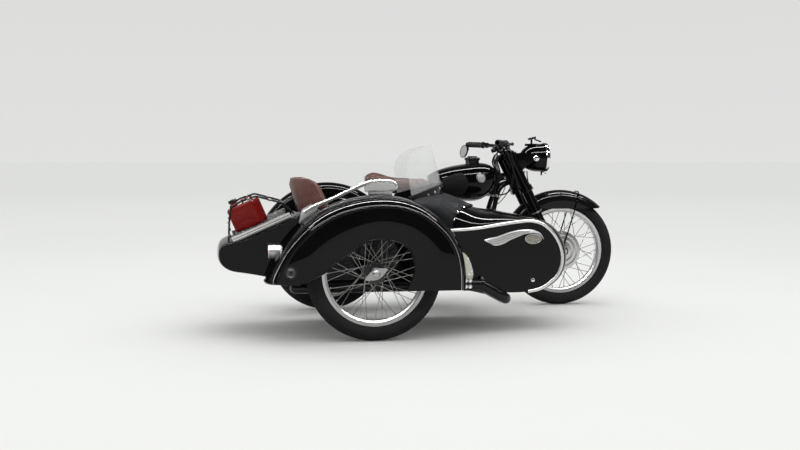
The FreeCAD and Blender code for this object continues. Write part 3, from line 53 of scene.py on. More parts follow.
# ------------------------------------------------------------------ materials
class Nt:
    """A small helper for node materials."""

    def __init__(self, name):
        self.m = bpy.data.materials.new(name)
        self.m.use_nodes = True
        self.t = self.m.node_tree
        self.b = self.t.nodes["Principled BSDF"]
        self.out = self.t.nodes["Material Output"]
        self.tc = None
        self.height = None

    def set(self, **kw):
        for k, v in kw.items():
            s = self.b.inputs[k.replace("_", " ")]
            if hasattr(s.default_value, "__len__") and not isinstance(v, (int, float)):
                s.default_value = tuple(v) + ((1.0,) if len(v) == 3 and len(s.default_value) == 4 else ())
            else:
                s.default_value = v
        return self

    def node(self, kind, **kw):
        n = self.t.nodes.new(kind)
        for k, v in kw.items():
            setattr(n, k, v)
        return n

    def link(self, a, b):
        self.t.links.new(a, b)

    def co(self, scale=(1, 1, 1), rot=(0, 0, 0)):
        if self.tc is None:
            self.tc = self.node("ShaderNodeTexCoord")
        mp = self.node("ShaderNodeMapping")
        mp.inputs["Scale"].default_value = scale
        mp.inputs["Rotation"].default_value = rot
        self.link(self.tc.outputs["Object"], mp.inputs["Vector"])
        return mp.outputs[0]

    def noise(self, scale, detail=3.0, rough=0.5, stretch=(1, 1, 1), distort=0.0):
        n = self.node("ShaderNodeTexNoise")
        n.inputs["Scale"].default_value = scale
        n.inputs["Detail"].default_value = detail
        n.inputs["Roughness"].default_value = rough
        n.inputs["Distortion"].default_value = distort
        self.link(self.co(stretch), n.inputs["Vector"])
        return n.outputs["Fac"]

    def voronoi(self, scale, feature="F1", stretch=(1, 1, 1)):
        n = self.node("ShaderNodeTexVoronoi")
        n.feature = feature
        n.inputs["Scale"].default_value = scale
        self.link(self.co(stretch), n.inputs["Vector"])
        return n.outputs["Distance"]

    def wave(self, scale, axis="X", stretch=(1, 1, 1)):
        n = self.node("ShaderNodeTexWave")
        n.bands_direction = axis
        n.inputs["Scale"].default_value = scale
        self.link(self.co(stretch), n.inputs["Vector"])
        return n.outputs["Fac"]

    def ramp(self, src, lo, hi, a=0.0, b=1.0):
        """Linear map of src from lo..hi to a..b."""
        n = self.node("ShaderNodeMapRange")
        n.inputs["From Min"].default_value = lo
        n.inputs["From Max"].default_value = hi
        n.inputs["To Min"].default_value = a
        n.inputs["To Max"].default_value = b
        self.link(src, n.inputs["Value"])
        return n.outputs[0]

    def math(self, op, a, b=0.0):
        n = self.node("ShaderNodeMath")
        n.operation = op
        for i, v in enumerate((a, b)):
            if isinstance(v, (int, float)):
                n.inputs[i].default_value = v
            else:
                self.link(v, n.inputs[i])
        return n.outputs[0]

    def mix(self, fac, c1, c2):
        n = self.node("ShaderNodeMix")
        n.data_type = "RGBA"
        self.link(fac, n.inputs[0])
        for sock, v in ((n.inputs[6], c1), (n.inputs[7], c2)):
            if hasattr(v, "__len__"):
                sock.default_value = tuple(v) + ((1.0,) if len(v) == 3 else ())
            else:
                self.link(v, sock)
        return n.outputs[2]

    def colour(self, src):
        self.link(src, self.b.inputs["Base Color"])
        return self

    def rough(self, src):
        self.link(src, self.b.inputs["Roughness"])
        return self

    def bump(self, h, dist, strength=1.0):
        n = self.node("ShaderNodeBump")
        n.inputs["Strength"].default_value = strength
        n.inputs["Distance"].default_value = dist
        self.link(h, n.inputs["Height"])
        if self.height is not None:
            self.link(self.height, n.inputs["Normal"])
        self.height = n.outputs[0]
        self.link(self.height, self.b.inputs["Normal"])
        return self


def paint(name, col, rough=0.06, dust=0.05, ior=1.5):
    """Deep gloss lacquer: a faint orange peel, a little haze and fine dust on it."""
    m = Nt(name).set(Metallic=0.0, IOR=ior)
    n = m.noise(3.0, 5.0, 0.6)
    d = m.noise(60.0, 6.0, 0.7)
    c2 = tuple(v * 1.6 + 0.0015 for v in col)
    m.colour(m.mix(m.ramp(n, 0.3, 0.7), col, c2))
    m.rough(m.math("ADD", m.ramp(n, 0.3, 0.75, rough, rough + dust), m.ramp(d, 0.45, 0.9, 0.0, 0.06)))
    m.bump(m.noise(55.0, 2.0), 0.00006, 0.5)
    return m.m


def metal(name, col, rough, spread=0.08, brush=None, bump=0.00004, scale=40.0):
    m = Nt(name).set(Metallic=1.0)
    n = m.noise(scale, 5.0, 0.6, brush or (1, 1, 1))
    w = m.noise(6.0, 4.0, 0.6)
    m.colour(m.mix(m.ramp(w, 0.3, 0.7), tuple(v * 0.86 for v in col), col))
    m.rough(m.ramp(m.math("MULTIPLY", n, m.math("ADD", w, 0.5)), 0.25, 0.75, rough, rough + spread))
    m.bump(n, bump, 0.6)
    return m.m


def cast(name, col, rough=0.42, grain=260.0, dirt=0.5):
    """Sand-cast alloy: a fine grain, darker where grime has settled."""
    m = Nt(name).set(Metallic=0.85)
    g = m.noise(grain, 4.0, 0.6)
    w = m.noise(9.0, 6.0, 0.65)
    m.colour(m.mix(m.ramp(w, 0.35, 0.75), col, tuple(v * (1 - dirt) for v in col)))
    m.rough(m.ramp(w, 0.3, 0.8, rough, rough + 0.2))
    m.bump(g, 0.00018, 0.7)
    return m.m


def rubber(name, col=(0.012, 0.012, 0.012), rough=0.62, scale=180.0):
    m = Nt(name).set(Metallic=0.0, IOR=1.33)
    n = m.noise(scale, 5.0, 0.65)
    w = m.noise(7.0, 5.0, 0.6)
    m.colour(m.mix(m.ramp(w, 0.35, 0.75), col, tuple(v * 2.1 + 0.004 for v in col)))
    m.rough(m.ramp(w, 0.3, 0.8, rough, rough + 0.18))
    m.bump(n, 0.00012, 0.7)
    return m.m


def leather(name, col, col2, rough=0.42, grain=430.0, ior=1.36):
    """Grained hide: small pebbles with creases, worn paler on the high places."""
    m = Nt(name).set(Metallic=0.0, IOR=ior)
    v = m.voronoi(grain, "DISTANCE_TO_EDGE")
    n = m.noise(14.0, 6.0, 0.65)
    f = m.noise(260.0, 3.0, 0.6)
    m.colour(m.mix(m.ramp(m.math("ADD", n, m.math("MULTIPLY", f, 0.35)), 0.5, 0.9), col, col2))
    m.rough(m.ramp(n, 0.3, 0.8, rough, rough + 0.2))
    m.bump(m.noise(24.0, 4.0, 0.5), 0.0006, 0.5)
    m.bump(m.ramp(v, 0.0, 0.12), 0.0003, 0.8)
    return m.m


def glassy(name, col=(0.93, 0.95, 0.95), rough=0.015, alpha=0.16, scale=30.0):
    """Thin clear sheet: mostly see-through, with faint haze, wiping marks and its own gloss."""
    m = Nt(name).set(Metallic=0.0, IOR=1.45, Base_Color=col)
    n = m.noise(scale, 6.0, 0.6)
    m.link(m.ramp(n, 0.3, 0.8, alpha * 0.85, alpha * 1.25), m.b.inputs["Alpha"])
    m.rough(m.ramp(n, 0.3, 0.8, rough, rough + 0.06))
    m.bump(m.noise(5.0, 2.0), 0.0004, 0.2)
    return m.m


M = {
    "black": paint("black_lacquer", (0.0018, 0.0018, 0.0020), 0.022, 0.03, 1.28),
    "chassis": paint("black_enamel", (0.004, 0.004, 0.0042), 0.16, 0.10, 1.34),
    "cap_black": paint("cap_enamel", (0.005, 0.005, 0.005), 0.22, 0.10, 1.42),
    "red": paint("red_lacquer", (0.155, 0.006, 0.005), 0.14, 0.10, 1.24),
    "cream": paint("cream_lacquer", (0.45, 0.44, 0.385), 0.20, 0.08),
    "chrome": metal("chrome", (0.84, 0.85, 0.86), 0.06, 0.05, bump=0.000002),
    "rim": metal("rim_plate", (0.74, 0.74, 0.73), 0.33, 0.12, None, 0.00003, 80.0),
    "alloy": metal("polished_alloy", (0.84, 0.84, 0.83), 0.24, 0.10, (1, 6, 6), 0.000008, 30.0),
    "alloy_turned": metal("turned_alloy", (0.66, 0.66, 0.65), 0.24, 0.18, None, 0.00005, 120.0),
    "alloy_trim": metal("trim_alloy", (0.90, 0.90, 0.88), 0.34, 0.12, (14, 1, 14), 0.00002, 40.0),
    "satin": metal("satin_silver", (0.66, 0.66, 0.65), 0.38, 0.14, (1, 1, 6), 0.00003, 60.0),
    "steel_dark": metal("dull_steel", (0.22, 0.22, 0.22), 0.30, 0.15, None, 0.00005, 120.0),
    "mirror": metal("mirror_silver", (0.95, 0.96, 0.96), 0.01, 0.02, bump=0.000004),
    "strap": rubber("strap_rubber", (0.014, 0.013, 0.012), 0.6, 260.0),
    "steel": metal("bright_steel", (0.58, 0.58, 0.57), 0.24, 0.18, None, 0.00005, 90.0),
    "spoke": metal("spoke_steel", (0.70, 0.70, 0.70), 0.16, 0.14, None, 0.00002, 200.0),
    "cast": cast("cast_alloy", (0.46, 0.46, 0.45)),
    "barrel": cast("barrel_iron", (0.10, 0.10, 0.10), 0.5, 320.0, 0.4),
    "tyre": rubber("tyre_rubber", (0.0040, 0.0040, 0.0040), 0.74),
    "rubber": rubber("moulded_rubber", (0.010, 0.010, 0.010), 0.5, 320.0),
    "brown": leather("brown_leather", (0.108, 0.036, 0.027), (0.19, 0.082, 0.064)),
    "grey": leather("grey_leather", (0.0050, 0.0060, 0.0086), (0.0110, 0.0130, 0.0180), 0.44, 520.0, 1.22),
    "piping": leather("piping_leather", (0.26, 0.12, 0.09), (0.36, 0.18, 0.14), 0.38, 700.0),
    "seam": leather("seam_leather", (0.030, 0.009, 0.007), (0.055, 0.018, 0.014), 0.5, 700.0),
    "thread": rubber("waxed_thread", (0.10, 0.05, 0.035), 0.6, 900.0),
    "clear": glassy("clear_sheet"),
    "lens": glassy("lamp_glass", (0.9, 0.93, 0.95), 0.02, 0.42, 60.0),
    "redlens": paint("red_lens", (0.42, 0.006, 0.006), 0.08, 0.04),
}

def hub_finish(name, x, y_plane, drum):
    """Bright spokes round a turned alloy drum, or round a black hub with an alloy nut outside the given plane."""
    m = Nt(name)
    if m.tc is None:
        m.co()
    sp = m.node("ShaderNodeSeparateXYZ")
    m.link(m.tc.outputs["Object"], sp.inputs[0])
    dx = m.math("SUBTRACT", sp.outputs["X"], x)
    dz = m.math("SUBTRACT", sp.outputs["Z"], 0.327)
    r = m.math("SQRT", m.math("ADD", m.math("MULTIPLY", dx, dx), m.math("MULTIPLY", dz, dz)))
    n = m.noise(70.0, 5.0, 0.6)
    w = m.noise(8.0, 5.0, 0.6)
    rings = m.math("SINE", m.math("MULTIPLY", r, 2600.0))
    m.b.inputs["Metallic"].default_value = 1.0
    if drum:
        inner = m.math("LESS_THAN", r, 0.1165)
        hub = m.mix(m.ramp(w, 0.3, 0.75), (0.56, 0.56, 0.55), (0.46, 0.46, 0.45))
        m.colour(m.mix(inner, (0.36, 0.36, 0.355), hub))
        m.rough(m.math("ADD", m.ramp(n, 0.3, 0.7, 0.14, 0.26), m.math("MULTIPLY", inner, m.ramp(w, 0.3, 0.7, 0.16, 0.30))))
        m.bump(m.math("MULTIPLY", rings, inner), 0.00006, 0.5)
    else:
        inner = m.math("LESS_THAN", r, 0.0565)
        inboard = m.math("GREATER_THAN", sp.outputs["Y"], y_plane)
        black = m.math("MULTIPLY", inner, inboard)
        m.colour(m.mix(black, m.mix(m.math("LESS_THAN", r, 0.0615), (0.36, 0.36, 0.355), m.mix(m.ramp(w, 0.3, 0.75), (0.50, 0.50, 0.49), (0.40, 0.40, 0.39))), (0.012, 0.012, 0.012)))
        m.link(m.ramp(black, 0.0, 1.0, 1.0, 0.0), m.b.inputs["Metallic"])
        m.rough(m.ramp(n, 0.3, 0.7, 0.28, 0.42))
    m.bump(n, 0.00004, 0.5)
    return m.m


def slat_finish():
    """Polished tops over black sides: the split follows the deck's slope."""
    m = Nt("slat_finish")
    m.co()
    sp = m.node("ShaderNodeSeparateXYZ")
    m.link(m.tc.outputs["Object"], sp.inputs[0])
    sl = math.radians(23.5)
    up = m.math("SUBTRACT", m.math("MULTIPLY", m.math("SUBTRACT", sp.outputs["Z"], 0.477), math.cos(sl)),
                m.math("MULTIPLY", m.math("ADD", sp.outputs["X"], 0.519 + CX), math.sin(sl)))
    side = m.math("GREATER_THAN", m.math("ABSOLUTE", m.math("ADD", sp.outputs["Y"], 0.7075 + CY)), 0.2)
    top = m.math("GREATER_THAN", m.math("ADD", up, m.math("MULTIPLY", side, 0.015)), 0.0125)
    n = m.noise(60.0, 5.0, 0.6)
    w = m.noise(7.0, 5.0, 0.6)
    m.colour(m.mix(top, (0.004, 0.004, 0.0042), m.mix(m.ramp(w, 0.3, 0.75), (0.86, 0.86, 0.85), (0.74, 0.74, 0.73))))
    m.link(top, m.b.inputs["Metallic"])
    m.b.inputs["IOR"].default_value = 1.34
    m.rough(m.ramp(n, 0.3, 0.7, 0.20, 0.34))
    m.bump(n, 0.00001, 0.5)
    return m.m


M["slats"] = slat_finish()


def kneepad_finish():
    m = Nt("kneepad_rubber").set(Metallic=0.0, IOR=1.22)
    w = m.noise(7.0, 5.0, 0.6)
    m.colour(m.mix(m.ramp(w, 0.35, 0.75), (0.0045, 0.0045, 0.0045), (0.012, 0.012, 0.012)))
    m.rough(m.ramp(w, 0.3, 0.8, 0.45, 0.6))
    m.co()
    sp = m.node("ShaderNodeSeparateXYZ")
    m.link(m.tc.outputs["Object"], sp.inputs[0])
    m.bump(m.math("ABSOLUTE", m.math("SINE", m.math("MULTIPLY", sp.outputs["Z"], 420.0))), 0.0012, 0.8)
    m.bump(m.noise(320.0, 4.0), 0.0001, 0.6)
    return m.m


def cylinder_finish():
    """Dark iron barrels, pale alloy heads outside them."""
    m = Nt("cylinder_finish")
    m.co()
    sp = m.node("ShaderNodeSeparateXYZ")
    m.link(m.tc.outputs["Object"], sp.inputs[0])
    head = m.math("GREATER_THAN", m.math("ABSOLUTE", m.math("ADD", sp.outputs["Y"], CY)), 0.2935)
    g = m.noise(260.0, 4.0, 0.6)
    w = m.noise(9.0, 6.0, 0.65)
    iron = m.mix(m.ramp(w, 0.35, 0.75), (0.05, 0.05, 0.05), (0.022, 0.021, 0.020))
    alloy = m.mix(m.ramp(w, 0.35, 0.75), (0.46, 0.46, 0.45), (0.27, 0.27, 0.26))
    m.colour(m.mix(head, iron, alloy))
    m.link(m.ramp(head, 0.0, 1.0, 0.4, 0.85), m.b.inputs["Metallic"])
    m.rough(m.ramp(w, 0.3, 0.8, 0.42, 0.6))
    m.bump(g, 0.00018, 0.7)
    return m.m


def badge_finish():
    """Old enamel: clouded, with fine dark crazing."""
    m = Nt("old_enamel").set(Metallic=0.0, IOR=1.45)
    w = m.noise(120.0, 5.0, 0.65)
    v = m.voronoi(420.0, "DISTANCE_TO_EDGE")
    m.colour(m.mix(m.ramp(v, 0.0, 0.08), (0.10, 0.075, 0.055), m.mix(m.ramp(w, 0.4, 0.65), (0.36, 0.34, 0.30), (0.20, 0.17, 0.14))))
    m.rough(m.ramp(w, 0.3, 0.8, 0.25, 0.45))
    m.bump(w, 0.00004, 0.6)
    return m.m


M["badge"] = badge_finish()
M["guard_soft"] = paint("soft_lacquer", (0.0040, 0.0040, 0.0042), 0.10, 0.14, 1.36)
M["kneepad"] = kneepad_finish()
M["cylinder"] = cylinder_finish()
M["hub_front"] = hub_finish("front_hub_finish", 1.400 - CX, 0, True)
M["hub_rear"] = hub_finish("rear_hub_finish", 0.0 - CX, 0, True)
M["hub_side"] = hub_finish("sidecar_hub_finish", 0.130 - CX, -1.2095 - CY, False)

CAD_MATS = {
    "front_tyre": "tyre", "rear_tyre": "tyre", "sidecar_tyre": "tyre", "front_rim": "rim", "rear_rim": "rim", "sidecar_rim": "rim",
    "front_hub": "hub_front", "rear_hub": "hub_rear", "sidecar_hub": "hub_side", "fork_legs": "black", "steering_yokes": "black",
    "handlebar": "black", "grips": "rubber", "mirror": "black", "headlamp_shell": "black", "headlamp_lens": "lens", "front_fender": "guard_soft",
    "fender_stays": "black", "front_axle": "alloy_turned", "brake_cable": "rubber", "frame": "chassis", "rear_axle": "chassis",
    "final_drive": "cast", "engine_block": "cast", "cylinders": "cylinder", "carburettors": "cast", "exhausts": "chrome", "fuel_tank": "black",
    "knee_pads": "kneepad", "saddle": "brown", "saddle_springs": "chassis", "rear_fender": "black", "foot_controls": "steel", "battery": "rubber",
    "centre_stand": "chassis", "sidecar_body": "black", "tonneau_cover": "grey", "windscreen_band": "black", "windscreen": "clear",
    "sidecar_seat": "brown", "sidecar_backrest": "brown", "grab_rail": "alloy", "luggage_rails": "slats", "luggage_rack": "chassis",
    "fuel_can": "red", "sidecar_fender": "black", "stone_guard": "cream", "tail_lamps": "satin", "sidecar_chassis": "chassis",
    "sidecar_axle": "chassis", "sidecar_struts": "chassis",
}
for n, k in CAD_MATS.items():
    o = NODES[n]
    o.data.materials.clear()
    o.data.materials.append(M[k])
    for p in o.data.polygons:
        p.material_index = 0


# ------------------------------------------------------------------ mesh helpers
def unit(v):
    v = np.asarray(v, float)
    return v / np.linalg.norm(v)


def flow(pts, per=8, closed=False):
    """A smooth line through the points."""
    p = [np.asarray(q, float) for q in pts]
    n = len(p)
    out = []
    for i in range(n if closed else n - 1):
        p1, p2 = p[i], p[(i + 1) % n]
        p0 = p[(i - 1) % n] if (closed or i > 0) else 2 * p1 - p2
        p3 = p[(i + 2) % n] if (closed or i + 2 < n) else 2 * p2 - p1
        for k in range(per):
            t = k / per
            out.append(0.5 * (2 * p1 + (p2 - p0) * t + (2 * p0 - 5 * p1 + 4 * p2 - p3) * t * t + (3 * p1 - p0 - 3 * p2 + p3) * t ** 3))
    if not closed:
        out.append(p[-1])
    return np.array(out)


def bent(points, radius=None, seg=7):
    """Straight runs of a bent rigid tube joined by tangent arcs."""
    p = [np.asarray(q, float) for q in points]
    out = [p[0]]
    for a, b, c in zip(p[:-2], p[1:-1], p[2:]):
        d1, d2 = unit(b - a), unit(c - b)
        ang = math.acos(max(-1, min(1, float(d1 @ d2))))
        if ang < 0.01:
            continue
        run = min(np.linalg.norm(b - a), np.linalg.norm(c - b))
        r = 0.45 * run / math.tan(ang / 2)
        if radius:
            r = min(r, radius)
        t = r * math.tan(ang / 2)
        s, e = b - d1 * t, b + d2 * t
        nrm = unit(d2 - d1)
        cen = b + nrm * (r / math.cos(ang / 2))
        u = s - cen
        w = d1 * r
        for k in range(seg + 1):
            f = ang * k / seg
            out.append(cen + u * math.cos(f) + w * math.sin(f))
    out.append(p[-1])
    return np.array(out)


def ring(r, n=12, squash=1.0):
    return [(r * math.cos(2 * math.pi * i / n), r * squash * math.sin(2 * math.pi * i / n)) for i in range(n)]


class Build:
    """Collects faces in millimetres seen from the rear axle's middle, each with a material's number."""

    def __init__(self):
        self.v, self.f, self.m, self.n = [], [], [], 0

    def add(self, v, f, m=0):
        v = np.asarray(v, float).reshape(-1, 3)
        self.v.append(v)
        self.f += [tuple(int(i) + self.n for i in q) for q in f]
        self.m += [m] * len(f)
        self.n += len(v)
        return self

    def grid(self, rows, m=0, wrap_u=False, wrap_v=False, caps=False):
        rows = np.asarray(rows, float)
        nu, nv = rows.shape[:2]
        f = []
        for i in range(nu if wrap_u else nu - 1):
            for j in range(nv if wrap_v else nv - 1):
                f.append((i * nv + j, i * nv + (j + 1) % nv, ((i + 1) % nu) * nv + (j + 1) % nv, ((i + 1) % nu) * nv + j))
        if caps:
            f.append(tuple(range(nv)))
            f.append(tuple((nu - 1) * nv + j for j in reversed(range(nv))))
        return self.add(rows.reshape(-1, 3), f, m)

    def lathe(self, prof, centre, axis, n=96, m=0, a0=0.0, a1=360.0, loop=False):
        """prof holds (along the axis, radius)."""
        ax = unit(axis)
        h = unit(np.cross(ax, [0, 0, 1] if abs(ax[2]) < 0.9 else [1, 0, 0]))
        w = np.cross(ax, h)
        c = np.asarray(centre, float)
        full = abs(a1 - a0) > 359.9
        rows = []
        for i in range(n if full else n + 1):
            t = math.radians(a0 + (a1 - a0) * i / n)
            e = h * math.cos(t) + w * math.sin(t)
            rows.append([c + ax * a + e * r for a, r in prof])
        return self.grid(rows, m, wrap_u=full, wrap_v=loop)

    def sweep(self, path, section, up=None, m=0, closed=False, caps=True, scale=None):
        """section holds (side, up) pairs round a closed outline."""
        p = np.asarray(path, float)
        n = len(p)
        t = (np.roll(p, -1, 0) - np.roll(p, 1, 0)) if closed else np.gradient(p, axis=0)
        t /= np.linalg.norm(t, axis=1)[:, None]
        rows = []
        u = None
        for i in range(n):
            if up is not None:
                ref = np.asarray(up[i] if np.ndim(up) == 2 else up, float)
                side = unit(np.cross(t[i], ref))
                u2 = np.cross(side, t[i])
            else:
                if u is None:
                    u = unit(np.cross(t[0], [0, 0, 1] if abs(t[0][2]) < 0.9 else [1, 0, 0]))
                u = unit(u - t[i] * (u @ t[i]))
                side, u2 = u, np.cross(t[i], u)
            k = 1.0 if scale is None else scale[i]
            rows.append([p[i] + side * a * k + u2 * b * k for a, b in section])
        return self.grid(rows, m, wrap_u=closed, wrap_v=True, caps=caps and not closed)

    def tube(self, path, r, n=12, m=0, closed=False, scale=None):
        return self.sweep(path, ring(r, n), None, m, closed, True, scale)

    def plate(self, outline, y0, y1, m=0, round_=0.0):
        """A flat shape in X and Z between two depths, its front edge (y0) rounded over."""
        o = np.asarray(outline, float)
        c = o.mean(0)
        t = np.roll(o, -1, 0) - np.roll(o, 1, 0)
        t /= np.linalg.norm(t, axis=1)[:, None]
        nrm = np.c_[t[:, 1], -t[:, 0]]
        if ((o - c) * nrm).sum() < 0:
            nrm = -nrm
        s = 1.0 if y1 > y0 else -1.0
        rows = [[(x, y1, z) for x, z in o]]
        steps = 4 if round_ else 1
        for k in range(steps + 1):
            f = math.pi / 2 * k / steps
            ins = round_ * (1 - math.cos(f))
            dep = round_ * (1 - math.sin(f))
            rows.append([(x - nx * ins, y0 + s * dep, z - nz * ins) for (x, z), (nx, nz) in zip(o, nrm)])
        return self.grid(rows, m, wrap_v=True, caps=True)

    def block(self, c, half, rot=None, m=0, bevel=1.0):
        """A chamfered block with its own axes (3 columns)."""
        R = np.eye(3) if rot is None else np.asarray(rot, float)
        hx, hy, hz = half
        b = bevel
        rows = []
        for z, k in ((-hz, b), (-hz + b, 0), (hz - b, 0), (hz, b)):
            x, y = hx - k, hy - k
            q = [(x, y - b), (x - b, y), (-x + b, y), (-x, y - b), (-x, -y + b), (-x + b, -y), (x - b, -y), (x, -y + b)]
            rows.append([np.asarray(c, float) + R @ np.array([a, d, z]) for a, d in q])
        return self.grid(rows, m, wrap_v=True, caps=True)

    def bolt(self, c, axis, r, h, m=0, hexed=True):
        """A bolt head with a washer and a slightly domed top."""
        n = 6 if hexed else 20
        self.lathe([(0, r * 1.35), (0.18 * h, r * 1.35), (0.18 * h, r * 0.9)], c, axis, 18, m)
        self.lathe([(0.18 * h, r), (0.85 * h, r), (h, r * 0.86), (h * 1.04, 0.0)], c, axis, n, m)
        return self

    def make(self, name, mats, body="root", slot=None, replaces=(), sharp=38.0, merge=8e-6):
        v = np.vstack(self.v) / 1000.0 - np.array([CX, CY, 0.0])
        me = bpy.data.meshes.new(name)
        me.from_pydata(v.tolist(), [], self.f)
        for k in mats:
            me.materials.append(M[k])
        me.polygons.foreach_set("material_index", self.m)
        bm = bmesh.new()
        bm.from_mesh(me)
        bmesh.ops.remove_doubles(bm, verts=bm.verts, dist=merge)
        bmesh.ops.dissolve_degenerate(bm, dist=merge / 2, edges=bm.edges)
        bmesh.ops.recalc_face_normals(bm, faces=bm.faces)
        bm.to_mesh(me)
        bm.free()
        return place(name, me, body, replaces, sharp)


def place(name, me, body, replaces=(), sharp=38.0):
    me.polygons.foreach_set("use_smooth", [True] * len(me.polygons))
    me.set_sharp_from_angle(angle=math.radians(sharp))
    o = bpy.data.objects.new(name, me)
    bpy.context.scene.collection.objects.link(o)
    if body:
        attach(o, body)
    if replaces:
        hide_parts(*replaces)
    return o


def skin_of(node, name, voxel, mat, shrink=0.0, only=None):
    """A new closed mesh made from a CAD node's shape, evenly remeshed."""
    me = NODES[node].data.copy()
    me.name = name
    o = bpy.data.objects.new(name, me)
    bpy.context.scene.collection.objects.link(o)
    me.materials.clear()
    me.materials.append(M[mat])
    md = o.modifiers.new("remesh", "REMESH")
    md.mode = "VOXEL"
    md.voxel_size = voxel
    md.use_smooth_shade = True
    if shrink:
        sm = o.modifiers.new("smooth", "SMOOTH")
        sm.factor = 0.5
        sm.iterations = int(shrink)
    bake(o)
    return o


def bake(o):
    """Applies every modifier."""
    bpy.context.view_layer.update()
    dg = bpy.context.evaluated_depsgraph_get()
    me = bpy.data.meshes.new_from_object(o.evaluated_get(dg))
    o.modifiers.clear()
    old = o.data
    o.data = me
    bpy.data.meshes.remove(old)
    return o


def verts_of(o):
    a = np.zeros(len(o.data.vertices) * 3)
    o.data.vertices.foreach_get("co", a)
    return a.reshape(-1, 3)


def normals_of(o):
    a = np.zeros(len(o.data.vertices) * 3)
    o.data.vertices.foreach_get("normal", a)
    return a.reshape(-1, 3)


def set_verts(o, a):
    o.data.vertices.foreach_set("co", np.ascontiguousarray(a, float).ravel())
    o.data.update()


def wobble(p, k, seed):
    """A smooth pattern of bumps made of a few sines; p in metres, k bumps a metre."""
    s = np.zeros(len(p))
    rng = np.random.RandomState(seed)
    for i in range(7):
        d = rng.normal(size=3)
        d /= np.linalg.norm(d)
        s += np.sin((p @ d) * k * (0.6 + 0.25 * i) * 2 * math.pi + rng.rand() * 6.28) / (1 + 0.5 * i)
    return s / 3.0


def plump(o, pressure, cap, frames=20, pin=None):
    """Blows a closed mesh up like a stuffed cushion; no point moves further than cap."""
    base = verts_of(o)
    cl = o.modifiers.new("stuffing", "CLOTH")
    st = cl.settings
    st.quality = 4
    st.mass = 0.3
    st.use_pressure = True
    st.uniform_pressure_force = pressure
    st.tension_stiffness = 12
    st.compression_stiffness = 12
    st.shear_stiffness = 6
    st.bending_stiffness = 0.6
    st.effector_weights.gravity = 0.0
    cl.collision_settings.use_collision = False
    cl.point_cache.frame_start, cl.point_cache.frame_end = 1, frames
    sc = bpy.context.scene
    for f in range(1, frames + 1):
        sc.frame_set(f)
    dg = bpy.context.evaluated_depsgraph_get()
    me = bpy.data.meshes.new_from_object(o.evaluated_get(dg))
    o.modifiers.clear()
    a = np.zeros(len(me.vertices) * 3)
    me.vertices.foreach_get("co", a)
    a = a.reshape(-1, 3)
    if len(a) == len(base) and np.isfinite(a).all():
        d = a - base
        L = np.linalg.norm(d, axis=1)[:, None]
        d *= np.minimum(1.0, cap / np.maximum(L, 1e-9))
        set_verts(o, base + d)
    bpy.data.meshes.remove(me)
    sc.frame_set(1)
    return o


def ease(o, times=2, factor=0.5):
    md = o.modifiers.new("ease", "SMOOTH")
    md.factor, md.iterations = factor, times
    return bake(o)


def finer(o, levels=1):
    md = o.modifiers.new("finer", "SUBSURF")
    md.levels = md.render_levels = levels
    return bake(o)


SC, SH = -707.5, 277.5             # the sidecar body's middle plane and half width
AX_Z = 327.0

# ------------------------------------------------------------------ tyres with cut treads
def tyre_profile():
    """Half sections in millimetres: (offset from the wheel's plane, radius, share of tread)."""
    wall = flow([(28.6, 243.4), (30.3, 252), (32.4, 258.0), (38.4, 266.0), (43.8, 276), (46, 286.5), (45.0, 297), (41.8, 305.5), (37.5, 311)], 4)
    out = []
    for y, r in wall:
        k = 0.0
        if 262 < r < 265.2:
            k = 1.3
        elif 293.2 < r < 295.6:
            k = 0.8
        out.append((y + k, r, 0.0))
    R = 51.9
    crown = []
    for i in range(1, 24):
        a = math.radians(46.3 * (1 - i / 24.0))
        crown.append((R * math.sin(a), 275.1 + R * math.cos(a), 1.0))
    half = out + crown
    mid = [(0.0, 327.0, 1.0)]
    left = [(-y, r, t) for y, r, t in reversed(half)]
    return half + mid + left


def tread(y, s):
    """Depth of the grooves: zigzag ribs in the middle, cross cuts towards the shoulders; s runs round in millimetres."""
    zig = abs(((s / 20.5) % 1.0) - 0.5) * 4 - 1
    d = 0.0
    for y0, a in ((-20.5, 2.4), (-7.2, -2.4), (7.2, 2.4), (20.5, -2.4)):
        if abs(y - y0 - a * zig) < 1.7:
            d = 4.6
    if abs(y) > 25 and ((s / 20.5 + (0.5 if y > 0 else 0.0)) % 1.0) < 0.26:
        d = 3.8
    if 9.5 < abs(y) < 18 and ((s / 20.5 + (0.25 if y > 0 else 0.75)) % 1.0) < 0.12:
        d = 2.0
    return d


def tyre(name, x, y, body, node):
    b = Build()
    prof = tyre_profile()
    n = 400
    rows = []
    for i in range(n):
        a = 2 * math.pi * i / n
        s = 2 * math.pi * 327 * i / n
        row = []
        for py, pr, t in prof:
            d = tread(py, s * (100 * 20.5) / (2 * math.pi * 327)) if t else 0.0
            row.append((x + (pr - d) * math.cos(a), y + py, AX_Z + (pr - d) * math.sin(a)))
        rows.append(row)
    b.grid(rows, 0, wrap_u=True, wrap_v=True)
    return b.make(name, ["tyre"], body, "tyre", (node,), 32)


tyre("tyre_front", 1400, 0, "front_wheel", "front_tyre")
tyre("tyre_rear", 0, 0, "rear_wheel", "rear_tyre")
tyre("tyre_sidecar", 130, -1146, "sidecar_wheel", "sidecar_tyre")


